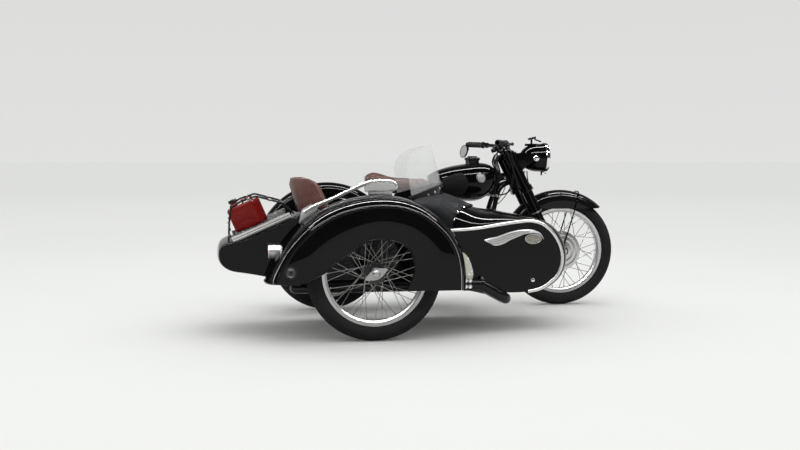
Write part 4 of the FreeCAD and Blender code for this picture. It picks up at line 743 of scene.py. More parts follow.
def wheel_bits(name, x, y, body, sides, valve_at):
    """Spoke nipples and a valve stem."""
    b = Build()
    for rf, yo, yi, yr, swing, phase in sides:
        for yf, sgn, ph in ((yo, 1, 0.0), (yi, -1, 18.0)):
            for i in range(10):
                end = math.radians(phase + ph + 36 * i)
                st = end - sgn * math.radians(swing)
                a = np.array([x + rf * math.cos(st), y + yf, AX_Z + rf * math.sin(st)])
                q = np.array([x + 231.2 * math.cos(end), y + yr, AX_Z + 231.2 * math.sin(end)])
                d = unit(q - a)
                b.lathe([(-13, 1.8), (-12.5, 2.7), (-4, 2.7), (-3.2, 3.6), (0.6, 3.6), (0.6, 0)], q, d, 8, 0)
                b.lathe([(-1.5, 2.2), (-1.2, 3.2), (1.2, 3.2), (1.5, 2.2)], a + d * 3, d, 8, 0)
    va = math.radians(valve_at)
    c = np.array([x + 231 * math.cos(va), y, AX_Z + 231 * math.sin(va)])
    d = np.array([-math.cos(va), 0, -math.sin(va)])
    b.lathe([(-3, 6.5), (3, 6.5), (3.5, 5.2), (8, 5.2), (8.5, 3.9), (24, 3.9), (24.5, 4.6), (34, 4.6), (35.5, 3.2), (35.5, 0)], c, d, 12, 1)
    return b.make(name, ["spoke", "steel"], body, "steel")


DRUM = [(113, -52, -12, -5, 28, 0), (48, 43, 32, 5, 62, 9)]
wheel_bits("nipples_front", 1400, 0, "front_wheel", DRUM, 231.5)
wheel_bits("nipples_rear", 0, 0, "rear_wheel", DRUM, 150.5)
wheel_bits("nipples_sidecar", 130, -1146, "sidecar_wheel", [(47, -43, -28, -5, 62, 0), (47, 43, 28, 5, 62, 9)], 258.5)

# brake drums: turned rings and cover bolts on the outside faces
for nm, x, body in (("front", 1400, "front_wheel"), ("rear", 0, "rear_wheel")):
    b = Build()
    for r in (96, 84, 70, 56, 42):
        b.lathe([(0, r - 2.4), (2.0, r - 1.6), (2.6, r), (2.0, r + 1.6), (0, r + 2.4)], (x, -56.2, AX_Z), (0, -1, 0), 120, 0)
    for i in range(10):
        a = math.radians(36 * i + 9)
        b.bolt((x + 104 * math.cos(a), -56.6, AX_Z + 104 * math.sin(a)), (0, -1, 0), 3.6, 3.4, 1)
    for i in range(5):
        a = math.radians(72 * i + 20)
        b.bolt((x + 30 * math.cos(a), -56.0, AX_Z + 30 * math.sin(a)), (0, -1, 0), 4.2, 4.5, 1)
    b.make("drum_rings_" + nm, ["alloy_turned", "steel"], body, "alloy")

# ------------------------------------------------------------------ sidecar trim
def resample(pts, n):
    p = np.asarray(pts, float)
    d = np.r_[0, np.cumsum(np.linalg.norm(np.diff(p, axis=0), axis=1))]
    t = np.linspace(0, d[-1], n)
    return np.c_[[np.interp(t, d, p[:, i]) for i in range(p.shape[1])]].T


HALF_ROUND = [(-8, -6), (-8, 0.2), (-7.2, 2.0), (-5.4, 3.6), (-2.8, 4.7), (0, 5.1), (2.8, 4.7), (5.4, 3.6), (7.2, 2.0), (8, 0.2), (8, -6)]
strip_line = [(520, 514), (533, 516), (661, 524), (789, 543), (893, 557), (945, 560), (997, 549), (1039, 523), (1076, 482), (1103, 431), (1114, 380), (1109, 329), (1088, 283), (1052, 248), (1000, 216), (937, 202)]
b = Build()
b.sweep([(x, -985.0, z) for x, z in flow(strip_line, 8)], HALF_ROUND, (0, -1, 0), 0)
b.make("panel_strip", ["alloy_trim"], "root", "chrome")

UP_ = [(705, 466), (736, 475), (772, 483), (803, 493), (839, 505), (875, 513), (906, 516), (943, 516), (969, 512), (995, 501), (1011, 483), (1017, 468)]
LO_ = [(721, 457), (741, 446), (762, 437), (788, 440), (814, 449), (839, 463), (881, 480), (912, 492), (930, 495), (953, 499), (979, 496), (998, 486), (1008, 474), (1015, 467)]
up_, lo_ = resample(flow(UP_, 6), 90), resample(flow(LO_, 6), 90)
b = Build()
rows = []
for i in range(90):
    row = [(up_[i][0], -984.0, up_[i][1])]
    nw = 30
    for j in range(nw + 1):
        s = j / nw
        p = up_[i] * (1 - s) + lo_[i] * s
        edge = min(1.0, 6 * s, 6 * (1 - s))
        rib = abs(math.sin(4 * math.pi * s)) ** 0.6
        h = 0.8 + edge * (1.6 + 1.1 * rib)
        row.append((p[0], -984.6 - h, p[1]))
    row.append((lo_[i][0], -984.0, lo_[i][1]))
    rows.append(row)
b.grid(rows, 0, wrap_v=True, caps=True)
b.make("wing_flash", ["satin"], "root", "chrome", sharp=30)
b = Build()
for s in (0.25, 0.5, 0.75):
    ln = [(q[0], -987.1, q[1]) for q in (up_[i] * (1 - s) + lo_[i] * s for i in range(4, 66))]
    b.tube(ln, 1.0, 8, 0)
b.make("flash_grooves", ["steel_dark"], "root", "steel")

b = Build()
BC = (960.0, 469.0)
ov = []
for k, h in ((1.0, -1.0), (1.0, 3.6), (0.985, 5.6), (0.955, 6.8), (0.92, 6.8), (0.89, 5.6), (0.875, 4.4)):
    ov.append([(BC[0] + 44 * k * math.cos(t), -985.0 - h, BC[1] + (26 + 44 * (k - 1)) * math.sin(t)) for t in np.linspace(0, 2 * math.pi, 72, endpoint=False)])
b.grid(ov, 0, wrap_v=True)
ov = []
for k, h in ((0.885, 3.0), (0.875, 4.6), (0.80, 5.3), (0.6, 6.0), (0.4, 6.5), (0.2, 6.8), (0.02, 6.9)):
    ov.append([(BC[0] + 44 * k * math.cos(t), -985.0 - h, BC[1] + 26 * k * 0.985 * math.sin(t)) for t in np.linspace(0, 2 * math.pi, 72, endpoint=False)])
b.grid(ov, 1, wrap_v=True, caps=True)
ov = []
for k, h in ((0.70, 5.2), (0.695, 6.3), (0.67, 6.6), (0.655, 6.2)):
    ov.append([(BC[0] + 44 * k * math.cos(t), -985.0 - h, BC[1] + 26 * k * math.sin(t)) for t in np.linspace(0, 2 * math.pi, 72, endpoint=False)])
b.grid(ov, 0, wrap_v=True)
ov = []
for k, h in ((0.80, 4.6), (0.795, 5.9), (0.775, 6.1), (0.765, 5.2)):
    ov.append([(BC[0] + 44 * k * math.cos(t), -985.0 - h, BC[1] + 26 * k * math.sin(t)) for t in np.linspace(0, 2 * math.pi, 72, endpoint=False)])
b.grid(ov, 2, wrap_v=True)
b.make("oval_badge", ["chrome", "badge", "steel_dark"], "root", "chrome")

b = Build()
for x, z, y, r in ((961, 260, -985, 7), (383, 680, None, 5), (480, 722, None, 5), (431, 701, None, 5)):
    if y is not None:
        b.bolt((x, y + 0.6, z), (0, -1, 0), r, 4.5, 0, False)


def band_face(x):
    """Where the screen's band meets a given X on the near side; returns Y and the outward normal."""
    k = ((541 - x) / 206.0) ** (1 / 2.2)
    y = SC - k * 0.885 * SH
    dxdk = -206 * 2.2 * k ** 1.2
    t = unit([dxdk, -0.885 * SH, 0])
    n = np.array([-t[1], t[0], 0])
    if n[1] > 0:
        n = -n
    return y, n


for x, z in ((360, 655), (400, 667), (440, 682), (480, 697), (512, 713), (531, 725)):
    y, n = band_face(x)
    for s in (1, -1):
        yy = y if s > 0 else 2 * SC - y
        nn = n * np.array([1, s, 1])
        b.bolt(np.array([x, yy, z + 8]) - nn * 0.5, nn, 4.6, 3.6, 0, False)
b.make("screen_screws", ["chrome"], "root", "chrome")

# rubber welt along the screen's lower edge
kk = np.linspace(-0.985, 0.985, 90)
slope = math.atan2(747 - 683, 541 - 330)
line = []
for k in kk:
    x = 541 + 1.5 - 206 * abs(k) ** 2.2
    line.append((x - 2.0, SC + k * (0.885 * SH), 683 + (x - 330) * math.tan(slope) - 1.0))
b = Build()
b.tube(line, 5.0, 12, 0)
b.make("screen_welt", ["rubber"], "root", "rubber")

# ------------------------------------------------------------------ wheel guard: beads, edge roll, ringed stop, fixing bolts
FO = [(-396, 292), (-388, 300), (-379, 322), (-354, 378), (-311, 452), (-267, 507), (-205, 569), (-147, 612), (-74, 650), (23, 681), (110, 695), (194, 697), (275, 686), (367, 652), (450, 594), (517, 523), (559, 446), (579, 364), (584, 300), (583, 238)]


def guard_line(dl, y, i0=0, i1=None, per=6):
    pts = []
    for x, z in FO[i0:i1]:
        rx, rz = x - 110, z - 300
        L = math.hypot(rx, rz)
        q = (L - dl) / L
        pts.append((110 + rx * q, y, 300 + rz * q))
    return flow(pts, per)


def spokes_up(line, ky=-0.5):
    u = np.array(line) - np.array([110, 0, 300])
    u[:, 1] = 0
    u /= np.linalg.norm(u, axis=1)[:, None]
    u[:, 1] = ky
    return u / np.linalg.norm(u, axis=1)[:, None]


BEAD = [(-4.5, -2.0), (-4.0, 0.0), (-2.6, 1.5), (0, 2.3), (2.6, 1.5), (4.0, 0.0), (4.5, -2.0)]
g = NODES["sidecar_fender"]
b = Build()
ln = guard_line(17.0, -1191.0, 1, None)
b.sweep(ln, BEAD, spokes_up(ln, -0.55), 0)
ln = guard_line(49.0, -1229.2, 1, None)
b.sweep(ln, [(a * 0.8, c) for a, c in BEAD], spokes_up(ln, -1.4), 0)
b.make("guard_beads", ["black"], "root", "paint_black")
b = Build()
ln = guard_line(43.5, -1225.6, 13, None)
b.sweep(ln, [(a * 0.55, c * 0.8) for a, c in BEAD], spokes_up(ln, -1.0), 0)
b.make("guard_front_line", ["alloy_trim"], "root", "alloy")

OPEN_ = [(277, 255), (289, 278), (309, 322), (314, 370), (296, 430), (265, 462), (232, 479), (170, 491), (108, 489), (51, 464), (-20, 414), (-67, 377), (-114, 340), (-170, 307), (-205, 292)]
b = Build()
ln = [(x, -1231.0, z) for x, z in flow(OPEN_, 8)]
b.tube(ln, 3.6, 10, 0)
b.make("guard_opening_roll", ["black"], "root", "paint_black")

# the wheel guard's side is slightly crowned between its rim bead and the opening
GO = resample(guard_line(53.0, 0.0, 1, None), 72)
GI = resample(flow([(-236, 0, 292)] + [(x, 0, z) for x, z in OPEN_[::-1]] + [(277, 0, 243)], 8), 72)
HI = np.array([110.0, 0.0, 150.0])
GI = [np.array(p) + 5.0 * (np.array(p) - HI) / np.linalg.norm(np.array(p) - HI) for p in GI]
GV = np.concatenate([[0.0], np.linspace(0.03, 0.97, 15), [1.0]])


def crown_of(t, v):
    g = min(1.0, min(t, 1.0 - t) / 0.16)
    g = g * g * (3 - 2 * g)
    return 13.0 * g * math.sin(math.pi * v) ** 1.15 * (1.0 - 0.25 * v)


def crown_at(x, z):
    best, out = 1e9, 0.0
    for i, (a, c) in enumerate(zip(GO, GI)):
        for v in GV:
            q = np.array(a) * (1 - v) + np.array(c) * v
            e = (q[0] - x) ** 2 + (q[2] - z) ** 2
            if e < best:
                best, out = e, crown_of(i / 71.0, v)
    return out


b = Build()
rows = []
for i, (a, c) in enumerate(zip(GO, GI)):
    a, c = np.array(a), np.array(c)
    row = [(a[0] * (1 - v) + c[0] * v, -1230.6 - (0.0 if v in (0.0, 1.0) else 0.5 + crown_of(i / 71.0, v)), a[2] * (1 - v) + c[2] * v) for v in GV]
    row += [(a[0] * (1 - v) + c[0] * v, -1229.6, a[2] * (1 - v) + c[2] * v) for v in (0.97, 0.66, 0.33, 0.03)]
    rows.append(row)
b.grid(rows, 0, wrap_v=True, caps=True)
b.make("guard_side", ["black"], "root", "paint_black")

b = Build()
RC = (-273, -1231.0 - crown_at(-273, 341), 341)
b.lathe([(-12, 30), (-1, 30), (2.5, 30), (4.5, 28.2), (4.5, 25), (2.5, 23.5), (2.5, 22)], RC, (0, -1, 0), 56, 0)
for r in (20, 15.5, 11):
    b.lathe([(1.0, r - 2.1), (3.4, r - 1.3), (4.4, r), (3.4, r + 1.3), (1.0, r + 2.1)], RC, (0, -1, 0), 48, 1)
b.lathe([(0.5, 24), (1.5, 23), (1.5, 0)], RC, (0, -1, 0), 48, 1)
b.lathe([(1, 8.6), (6, 8.6), (7.2, 7.4), (7.6, 0)], RC, (0, -1, 0), 6, 0)
b.make("ringed_stop", ["rubber", "steel_dark"], "root", "rubber")

b = Build()
for x, z in ((592, 314), (606, 331), (586, 390)):
    b.bolt((x, -1149.4, z), (0, -1, 0), 4.5, 4, 0, False)
for z in (240, 270):
    b.bolt((600, -1048.8, z), (0, -1, 0), 7, 6, 0)
    b.bolt((622, -1048.8, z), (0, -1, 0), 7, 6, 0)
b.make("guard_fixings", ["chrome"], "root", "chrome")

# ------------------------------------------------------------------ tank trim
def tank_side(x, z, s=-1):
    """A point on the tank's side by looking along Y at its own mesh."""
    o = NODES["fuel_tank"]
    a = P(x, s * 400, z)
    ok, loc, nor, _ = o.ray_cast(a, Vector((0, -s, 0)))
    return (np.array(loc) + np.array([CX, CY, 0])) * 1000 if ok else np.array([x, s * 150, z]), np.array(nor) if ok else np.array([0, s, 0.0])


b = Build()
for s in (-1, 1):
    c, n = tank_side(884, 763, s)
    b.lathe([(-6, 29), (2.5, 29), (4.2, 27.6), (4.8, 25.4), (4.2, 23.6), (3.2, 22.8)], c, n, 64, 0)
    b.lathe([(2.0, 23.2), (3.4, 22.4), (4.6, 16), (5.4, 8), (5.6, 0)], c, n, 64, 1)
b.make("tank_discs", ["steel_dark", "satin"], "root", "chrome")

b = Build()
b.lathe([(0, 40.2), (22, 40.2), (24, 43.5), (27, 45.2), (34, 45.2), (37.5, 43), (39.5, 38), (41, 25), (41.5, 0)], (865, 0, 843), (0, 0, 1), 72, 0)
for i in range(36):
    a = math.radians(10 * i)
    b.block((865 + 45 * math.cos(a), 45 * math.sin(a), 873), (1.2, 1.6, 4.2), Matrix.Rotation(a, 3, "Z"), 0, 0.5)
b.block((865, 0, 886), (27, 5, 4.5), None, 0, 1.6)
b.make("filler_cap", ["cap_black"], "root", "paint_black")

# ------------------------------------------------------------------ headlamp: rim, reflector, bulb shield, bottom bolt, side bolts
LX, LZ, LR = 1312.0, 880.0, 85.0
b = Build()
b.lathe([(-16, LR + 2.2), (-14, LR + 4.8), (-4, LR + 5.2), (3, LR + 4.2), (7, LR + 0.5), (8.5, LR - 4), (7.0, LR - 6.5), (0.3, LR - 5.5)], (LX, 0, LZ), (1, 0, 0), 120, 0)
b.lathe([(0.4, LR - 5), (0.6, LR * 0.9), (0.9, LR * 0.6), (1.1, 26), (3.0, 22), (7.0, 15), (8.8, 8), (9.2, 0)], (LX, 0, LZ), (1, 0, 0), 96, 0)
b.bolt((LX + 1, 0, LZ - LR - 4), (0.2, 0, -1), 4.5, 8, 0, False)
for s in (-1, 1):
    b.lathe([(-1, 19), (2.5, 19), (4.5, 17.5), (5.0, 13), (6.5, 11.5), (10.5, 10.5), (12, 7), (12.3, 0)], (1230, s * 94.2, 879), (0, s, 0), 40, 0)
b.make("lamp_rim", ["chrome"], "steering", "chrome")

b = Build()
sag, rr = 16.0, LR - 5
Rg = (rr * rr + sag * sag) / (2 * sag)
rows = []
for i in range(120):
    t = 2 * math.pi * i / 120
    row = []
    for k in range(26):
        r = rr * (1 - k / 25.0)
        x = LX + sag - Rg + math.sqrt(max(Rg * Rg - r * r, 0))
        y, z = r * math.cos(t), r * math.sin(t)
        flute = 0.9 * abs(math.sin(y / 6.4)) * min(1.0, (rr - r) / 8)
        row.append((x + 0.6 - flute, y, LZ + z))
    rows.append(row)
b.grid(rows, 0, wrap_u=True)
b.make("lamp_glass", ["lens"], "steering", "lamp_glass", ("headlamp_lens",))

# ------------------------------------------------------------------ grips, mirror glass
def sgrip(s):
    b = Build()
    a = np.array([925, s * 370, 964.0])
    e = np.array([1001, s * 270, 959.0])
    d = unit(e - a)
    prof = [(0.5, 11.2), (0.5, 15.8), (3, 17.2)]
    for k in range(13):
        z = 8 + k * 8.0
        prof += [(z, 17.3), (z + 1.2, 15.6), (z + 2.6, 15.6), (z + 3.8, 17.3)]
    prof += [(113, 17.6), (114, 20.4), (119, 20.8), (121.5, 19.4), (122, 12.0)]
    b.lathe(prof, a, d, 40, 0)
    return b


gb = sgrip(-1)
gb2 = sgrip(1)
n0 = gb.n
gb.add(np.vstack(gb2.v), gb2.f, 0)
gb.make("grips_moulded", ["rubber"], "steering", "rubber", ("grips",), 30)

b = Build()
mc = np.array([896.0, 371, 921])
mn = unit([-0.92, -0.33, 0.20])
b.lathe([(3.8, 40.4), (6.2, 40.4), (7.0, 38.6), (5.6, 37.2)], mc, mn, 64, 0)
b.lathe([(5.0, 37.8), (5.2, 20), (5.3, 0)], mc, mn, 64, 1)
b.make("mirror_glass", ["cap_black", "mirror"], "steering", "chrome")

# ------------------------------------------------------------------ luggage can: cap, pressed panels, seams
DS = math.radians(23.5)


def deck(d, y, up):
    return np.array([-519 + d * math.cos(DS) - up * math.sin(DS), y, 477 + d * math.sin(DS) + up * math.cos(DS)])


can = NODES["fuel_can"]
Rz = Matrix.Rotation(math.radians(-28), 3, "Z")
Ry = Matrix.Rotation(math.radians(-23.5), 3, "Y")
CR_ = np.array(Ry @ Rz)
C0 = deck(94, -752, 20.4)


def on_can(x, y, z):
    return C0 + CR_ @ np.array([x, y, z], float)


b = Build()
W2, D2, T2 = 80.0, 45.0, 125.0
zax = CR_ @ np.array([0, 0, 1.0])
# pressed panels on both broad faces: a raised frame with two diagonals
for sy in (-1, 1):
    n = CR_ @ np.array([0, sy, 0.0])
    y = sy * (D2 - 0.6)
    loop_ = [(-60, 22), (60, 22), (64, 26), (64, 98), (60, 102), (-60, 102), (-64, 98), (-64, 26)]
    pts = np.array([on_can(a, y, c) for a, c in resample(loop_ + loop_[:1], 65)[:-1]])
    b.sweep(pts, [(-4, -1), (-3, 1.2), (0, 2.0), (3, 1.2), (4, -1)], n, 0, closed=True)
    for p, q in (((-58, 28), (58, 96)), ((-58, 96), (58, 28))):
        pts = np.array([on_can(p[0] + (q[0] - p[0]) * t, y, p[1] + (q[1] - p[1]) * t) for t in np.linspace(0, 1, 24)])
        b.sweep(pts, [(-4, -1), (-3, 1.2), (0, 2.0), (3, 1.2), (4, -1)], n, 0)
# rolled seams round the narrow faces
for z in (14, 111):
    pts = []
    for t in np.linspace(0, 2 * math.pi, 80, endpoint=False):
        c, s_ = math.cos(t), math.sin(t)
        pts.append(on_can((W2 - 13) * np.clip(c * 1.6, -1, 1) + 14.2 * c, (D2 - 13) * np.clip(s_ * 1.6, -1, 1) + 14.2 * s_, z))
    b.tube(np.array(pts), 1.8, 8, 0, closed=True)
cap = on_can(-46, 0, 125 + 34)
b.lathe([(-36, 17.5), (-33, 15.6), (-16, 15.4), (-12, 15.4)], cap, zax, 36, 0)
b.lathe([(-13, 15.0), (-13, 19.6), (-12, 21.5), (0, 21.5), (3, 19.5), (4, 10), (4.2, 0)], cap, zax, 36, 1)
for i in range(18):
    a = math.radians(20 * i)
    p = cap + CR_ @ np.array([21.6 * math.cos(a), 21.6 * math.sin(a), -6])
    b.lathe([(-4.5, 1.6), (4.5, 1.6)], p, zax, 6, 1)
b.tube(np.array([on_can(-46 + 20 * math.cos(t), 8 + 2 * math.sin(t), 140 + 4 * math.sin(t)) for t in np.linspace(0, math.pi, 12)]), 2.2, 8, 1)
b.make("can_pressings", ["red", "cap_black"], "root", "paint_red")

# screws on the slats
b = Build()
for y in (SC - 250, SC - 170, SC - 95, SC, SC + 95, SC + 170, SC + 250):
    for d in (40, 235):
        c = deck(d, y, 20.0 if abs(y - SC) < 200 else 22.0)
        b.bolt(c, (-math.sin(DS), 0, math.cos(DS)), 3.6, 2.4, 0, False)
b.make("slat_screws", ["steel"], "root", "steel")
# black lines along the outer slats' polished sides: painted shade standing for the grooves' shade, laid on as thin
# tubes
b = Build()
for q in (-1, 1):
    for up in (11.0, 0.5):
        b.tube([deck(-17, SC + q * 263.1, up), deck(130, SC + q * 263.1, up), deck(283, SC + q * 263.1, up)], 1.5, 8, 0)
b.make("rail_groove_shade_lines", ["cap_black"], "root", "alloy")

# rail clips where the hoops pass the outer slats
b = Build()
for y in (SC - 212, SC + 212):
    for x, z in ((-556, 500), (-557, 560)):
        b.lathe([(-6, 5.2), (-6, 7.2), (6, 7.2), (6, 5.2)], (x, y, z), (0.05, 0, 1), 20, 0)
    for (x0, z0), (x1, z1) in (((-500, 664), (-425, 690)), ((-425, 690), (-293, 655))):
        m = np.array([(x0 + x1) / 2, y, (z0 + z1) / 2])
        d = unit([x1 - x0, 0, z1 - z0])
        b.lathe([(-7, 5.2), (-7, 7.0), (7, 7.0), (7, 5.2)], m, d, 20, 0)
b.make("hoop_collars", ["steel_dark"], "root", "steel")

# ------------------------------------------------------------------ tail lamps: rims and ribbed red glasses added to the plain drums
b = Build()
for x0, y, z, r in ((-372.0, -1066.0, 428.0, 31.0), (-396.0, 0.0, 430.0, 30.0)):
    d = (-1, 0, 0)
    lo = -(300 + x0) if y else -(x0 + 456)
    L = 72.0 if y else 60.0
    if y:
        b.lathe([(-2, 26.5), (-14, 30.5), (-54, 31.6), (-60, 30.4), (-66, 31.9), (-71, 31.9), (-73, 29.5), (-73, 27)], (-300, y, z), (1, 0, 0), 64, 0)
        c = (-367.0, y, z)
    else:
        b.lathe([(2, 20), (12, 28), (18, 30.4), (48, 30.6), (53, 29.4), (57, 31.6), (61, 31.6), (62, 29), (62, 26)], (-396, y, z), d, 64, 0)
        c = (-453.0, y, z)
    prof = [(-2.0, 28.2), (1.0, 27.6)]
    for k in range(8):
        rr_ = 26 - k * 3.3
        prof += [(2.6 + 0.5 * k, rr_), (3.6 + 0.5 * k, rr_ - 1.5)]
    prof += [(7.4, 0)]
    b.lathe(prof, c, d, 64, 1)
b.make("tail_lamp_glasses", ["satin", "redlens"], "root", "chrome")

# ------------------------------------------------------------------ soft pieces
def to_mm(a):
    return (np.asarray(a) + np.array([CX, CY, 0])) * 1000


def from_mm(a):
    return np.asarray(a, float) / 1000 - np.array([CX, CY, 0])


def snap_to(o, pts, out=0.0):
    """Moves millimetre points onto the surface of o, out millimetres above it; gives points and normals."""
    P_, N_ = [], []
    for p in pts:
        q = Vector(from_mm(p))
        ok, loc, nor, _ = o.closest_point_on_mesh(q)
        P_.append(to_mm(loc) + np.array(nor) * out)
        N_.append(np.array(nor))
    return np.array(P_), np.array(N_)


def welt(b, pts, r=3.0, m=0, closed=False):
    b.tube(pts, r, 8, m, closed=closed)


def stitches(b, pts, nor, step=7.0, L=4.0, m=0, off=(0, 0, 0)):
    """Single stitches lying on a surface."""
    d = np.r_[0, np.cumsum(np.linalg.norm(np.diff(pts, axis=0), axis=1))]
    t = np.arange(step, d[-1] - step, step)
    for s in t:
        a = np.array([np.interp(s - L / 2, d, pts[:, i]) for i in range(3)])
        c = np.array([np.interp(s + L / 2, d, pts[:, i]) for i in range(3)])
        n = np.array([np.interp(s, d, nor[:, i]) for i in range(3)])
        mid = (a + c) / 2 + n * 0.7
        b.tube(np.array([a - n * 0.3, mid, c - n * 0.3]), 0.5, 5, m)


# solo saddle: a sprung leather seat, seam all round below its rim
sad = skin_of("saddle", "saddle_leather", 0.006, "brown")
plump(sad, 4.0, 0.007, 16)
ease(sad, 3)
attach(sad, "root")
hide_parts("saddle")
p = verts_of(sad)
n = normals_of(sad)
mm = to_mm(p)
set_verts(sad, p + n * (wobble(p, 9.0, 3) * 0.0012)[:, None])
sad = finer(sad, 1)
SADDLE = [(231, 84, 744, 772), (250, 128, 724, 788), (300, 148, 700, 783), (360, 142, 694, 765), (430, 122, 692, 756), (500, 84, 700, 752), (560, 54, 712, 752), (600, 38, 722, 750)]
ring_ = []
for s in (1, -1):
    side = []
    for x, w_, z0, z1 in SADDLE:
        a = math.radians(34)
        side.append((x, s * w_ * math.cos(a) ** (2 / 2.8), (z0 + z1) / 2 + (z1 - z0) / 2 * math.sin(a) ** (2 / 2.8)))
    ring_ += side if s > 0 else side[::-1]
ring_ = flow(ring_, 8, closed=True)
pt, nr = snap_to(sad, ring_, 0.6)
b = Build()
welt(b, pt, 2.6, 0, True)
lo_ring, ln_ = snap_to(sad, ring_ - np.array([0, 0, 7.0]), 0.1)
stitches(b, lo_ring, ln_, 8.0, 4.5, 1)
for x, y in ((262, 60), (262, -60)):
    b.lathe([(-2, 7), (1.5, 6.4), (3.2, 4.2), (3.8, 0)], snap_to(sad, [(238, y, 764)], 0)[0][0], (-0.9, 0, 0.2), 16, 2)
b.make("saddle_piping", ["piping", "thread", "steel"], "root", "brown_leather")

# sidecar backrest: stuffed horseshoe
br = skin_of("sidecar_backrest", "backrest_leather", 0.008, "brown")
plump(br, 5.0, 0.012, 18)
ease(br, 3)
p = verts_of(br)
mm = to_mm(p)
n = normals_of(br)
set_verts(br, p + n * (wobble(p, 5.5, 11) * 0.0022)[:, None])
br = finer(br, 1)
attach(br, "root")
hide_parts("sidecar_backrest")


def lean_in(a):
    """The stuffed top sits a little further forward than its frame."""
    a = np.array(a, float)
    a[:, 0] += 14.0 * np.clip((a[:, 2] - 400) / 380.0, 0, 1)
    return a


set_verts(br, from_mm(lean_in(to_mm(verts_of(br)))))
PROF = np.array([(-290, 380), (-285, 760), (-262, 783), (-176, 783), (-146, 764), (-121, 719), (-88, 665), (-50, 590), (-18, 500), (-4, 385)], float)


def top_at(x):
    return float(np.interp(x, PROF[2:, 0], PROF[2:, 1]))


def rr_line(x0, x1, half, r, n=60):
    kk = [(x1, SC + half), ]
    pts = [(x1, half)]
    for px, py, a0 in ((x0 + r, half - r, 90), (x0 + r, -half + r, 180)):
        for i in range(9):
            a = math.radians(a0 + i * 11.25)
            pts.append((px + r * math.cos(a), py + r * math.sin(a)))
    pts.append((x1, -half))
    return resample(pts, n)


def horseshoe(lo, hi, inset=0.0):
    (x0, x1, h, r, z0), (X0, X1, H, R, Z0) = lo, hi
    out = []
    for i in range(70):
        z = 780.0
        for _ in range(8):
            t = (z - z0) / (Z0 - z0)
            q = rr_line(x0 + (X0 - x0) * t + inset, x1 + (X1 - x1) * t, h + (H - h) * t - inset, r + (R - r) * t - inset * 0.5, 70)[i]
            z = 0.5 * z + 0.5 * top_at(q[0])
        if z > 420:
            out.append((q[0], SC + q[1], z))
    return np.array(out)


oline = lean_in(horseshoe((-120, 60, 222, 96, 380), (-268, -88, 216, 96, 800), 4))
iline = lean_in(horseshoe((-50, 80, 164, 60, 370), (-202, -60, 160, 60, 810), -4))
b = Build()
for ln in (oline, iline):
    pt, nr = snap_to(br, ln, 0.8)
    welt(b, flow(pt, 3), 3.2, 0)
pt, nr = snap_to(br, oline * 1.0 + np.array([0, 0, -11]), 0.2)
stitches(b, pt, nr, 9.0, 5.0, 1)
for k in (0.18, 0.34, 0.5, 0.66, 0.82):
    i, j = int(k * (len(oline) - 1)), int(k * (len(iline) - 1))
    path = [oline[i] * (1 - t) + iline[j] * t + np.array([0, 0, 16.0 * math.sin(math.pi * t)]) for t in np.linspace(0.02, 0.98, 14)]
    down = [iline[j] + np.array([0, 0, -s]) for s in (14, 40, 80, 130, 190, 250)]
    pt, nr = snap_to(br, path + down, 0.0)
    b.tube(flow(pt, 3), 1.5, 6, 2)
b.make("backrest_piping", ["piping", "thread", "seam"], "root", "brown_leather")

# sidecar seat cushion
se = skin_of("sidecar_seat", "seat_leather", 0.009, "brown")
plump(se, 5.0, 0.012, 16)
ease(se, 2)
p = verts_of(se)
mm = to_mm(p)
n = normals_of(se)
cx_, cy_ = (mm[:, 0] - 135) / 195.0, (mm[:, 1] - SC) / 205.0
crown = np.clip(1 - cx_ ** 4, 0, 1) * np.clip(1 - cy_ ** 4, 0, 1) * (mm[:, 2] > 315)
groove = np.zeros(len(p))
for x in (35, 85, 135, 185, 235):
    groove += np.exp(-((mm[:, 0] - x) / 5.0) ** 2)
groove *= (mm[:, 2] > 345) * (np.abs(cy_) < 0.93)
q = p.copy()
q[:, 2] += crown * 0.012 - groove * 0.006 * (crown > 0.1)
q += n * (wobble(p, 6.0, 23) * 0.0015)[:, None]
set_verts(se, q)
se = finer(se, 1)
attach(se, "root")
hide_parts("sidecar_seat")
b = Build()
for z in (352, 274):
    loop_ = []
    for t in np.linspace(0, 2 * math.pi, 120, endpoint=False):
        c, s_ = math.cos(t), math.sin(t)
        e = 2 / 6.0
        loop_.append((135 + 193 * math.copysign(abs(c) ** e, c), SC + 203 * math.copysign(abs(s_) ** e, s_), z))
    pt, nr = snap_to(se, loop_, 0.8)
    welt(b, pt, 3.2, 0, True)
b.make("seat_piping", ["piping"], "root", "brown_leather")

# ------------------------------------------------------------------ the stretched knee cover
cv = NODES["tonneau_cover"]
SLOPE = math.atan2(747 - 683, 541 - 330)


def cov_front(k):
    return 712 - 168 * abs(k) ** 1.7


def cov_back(k):
    return 552 - 196 * (abs(k) * 283.5 / (0.86 * SH)) ** 2.2 if abs(k) < 0.86 else 330.0


cmesh = skin_of("tonneau_cover", "knee_cover", 0.0042, "grey")
ease(cmesh, 4)
p = verts_of(cmesh)
n = normals_of(cmesh)
mm = to_mm(p)
k = (mm[:, 1] - SC) / 283.5
s_arc = np.abs(k)
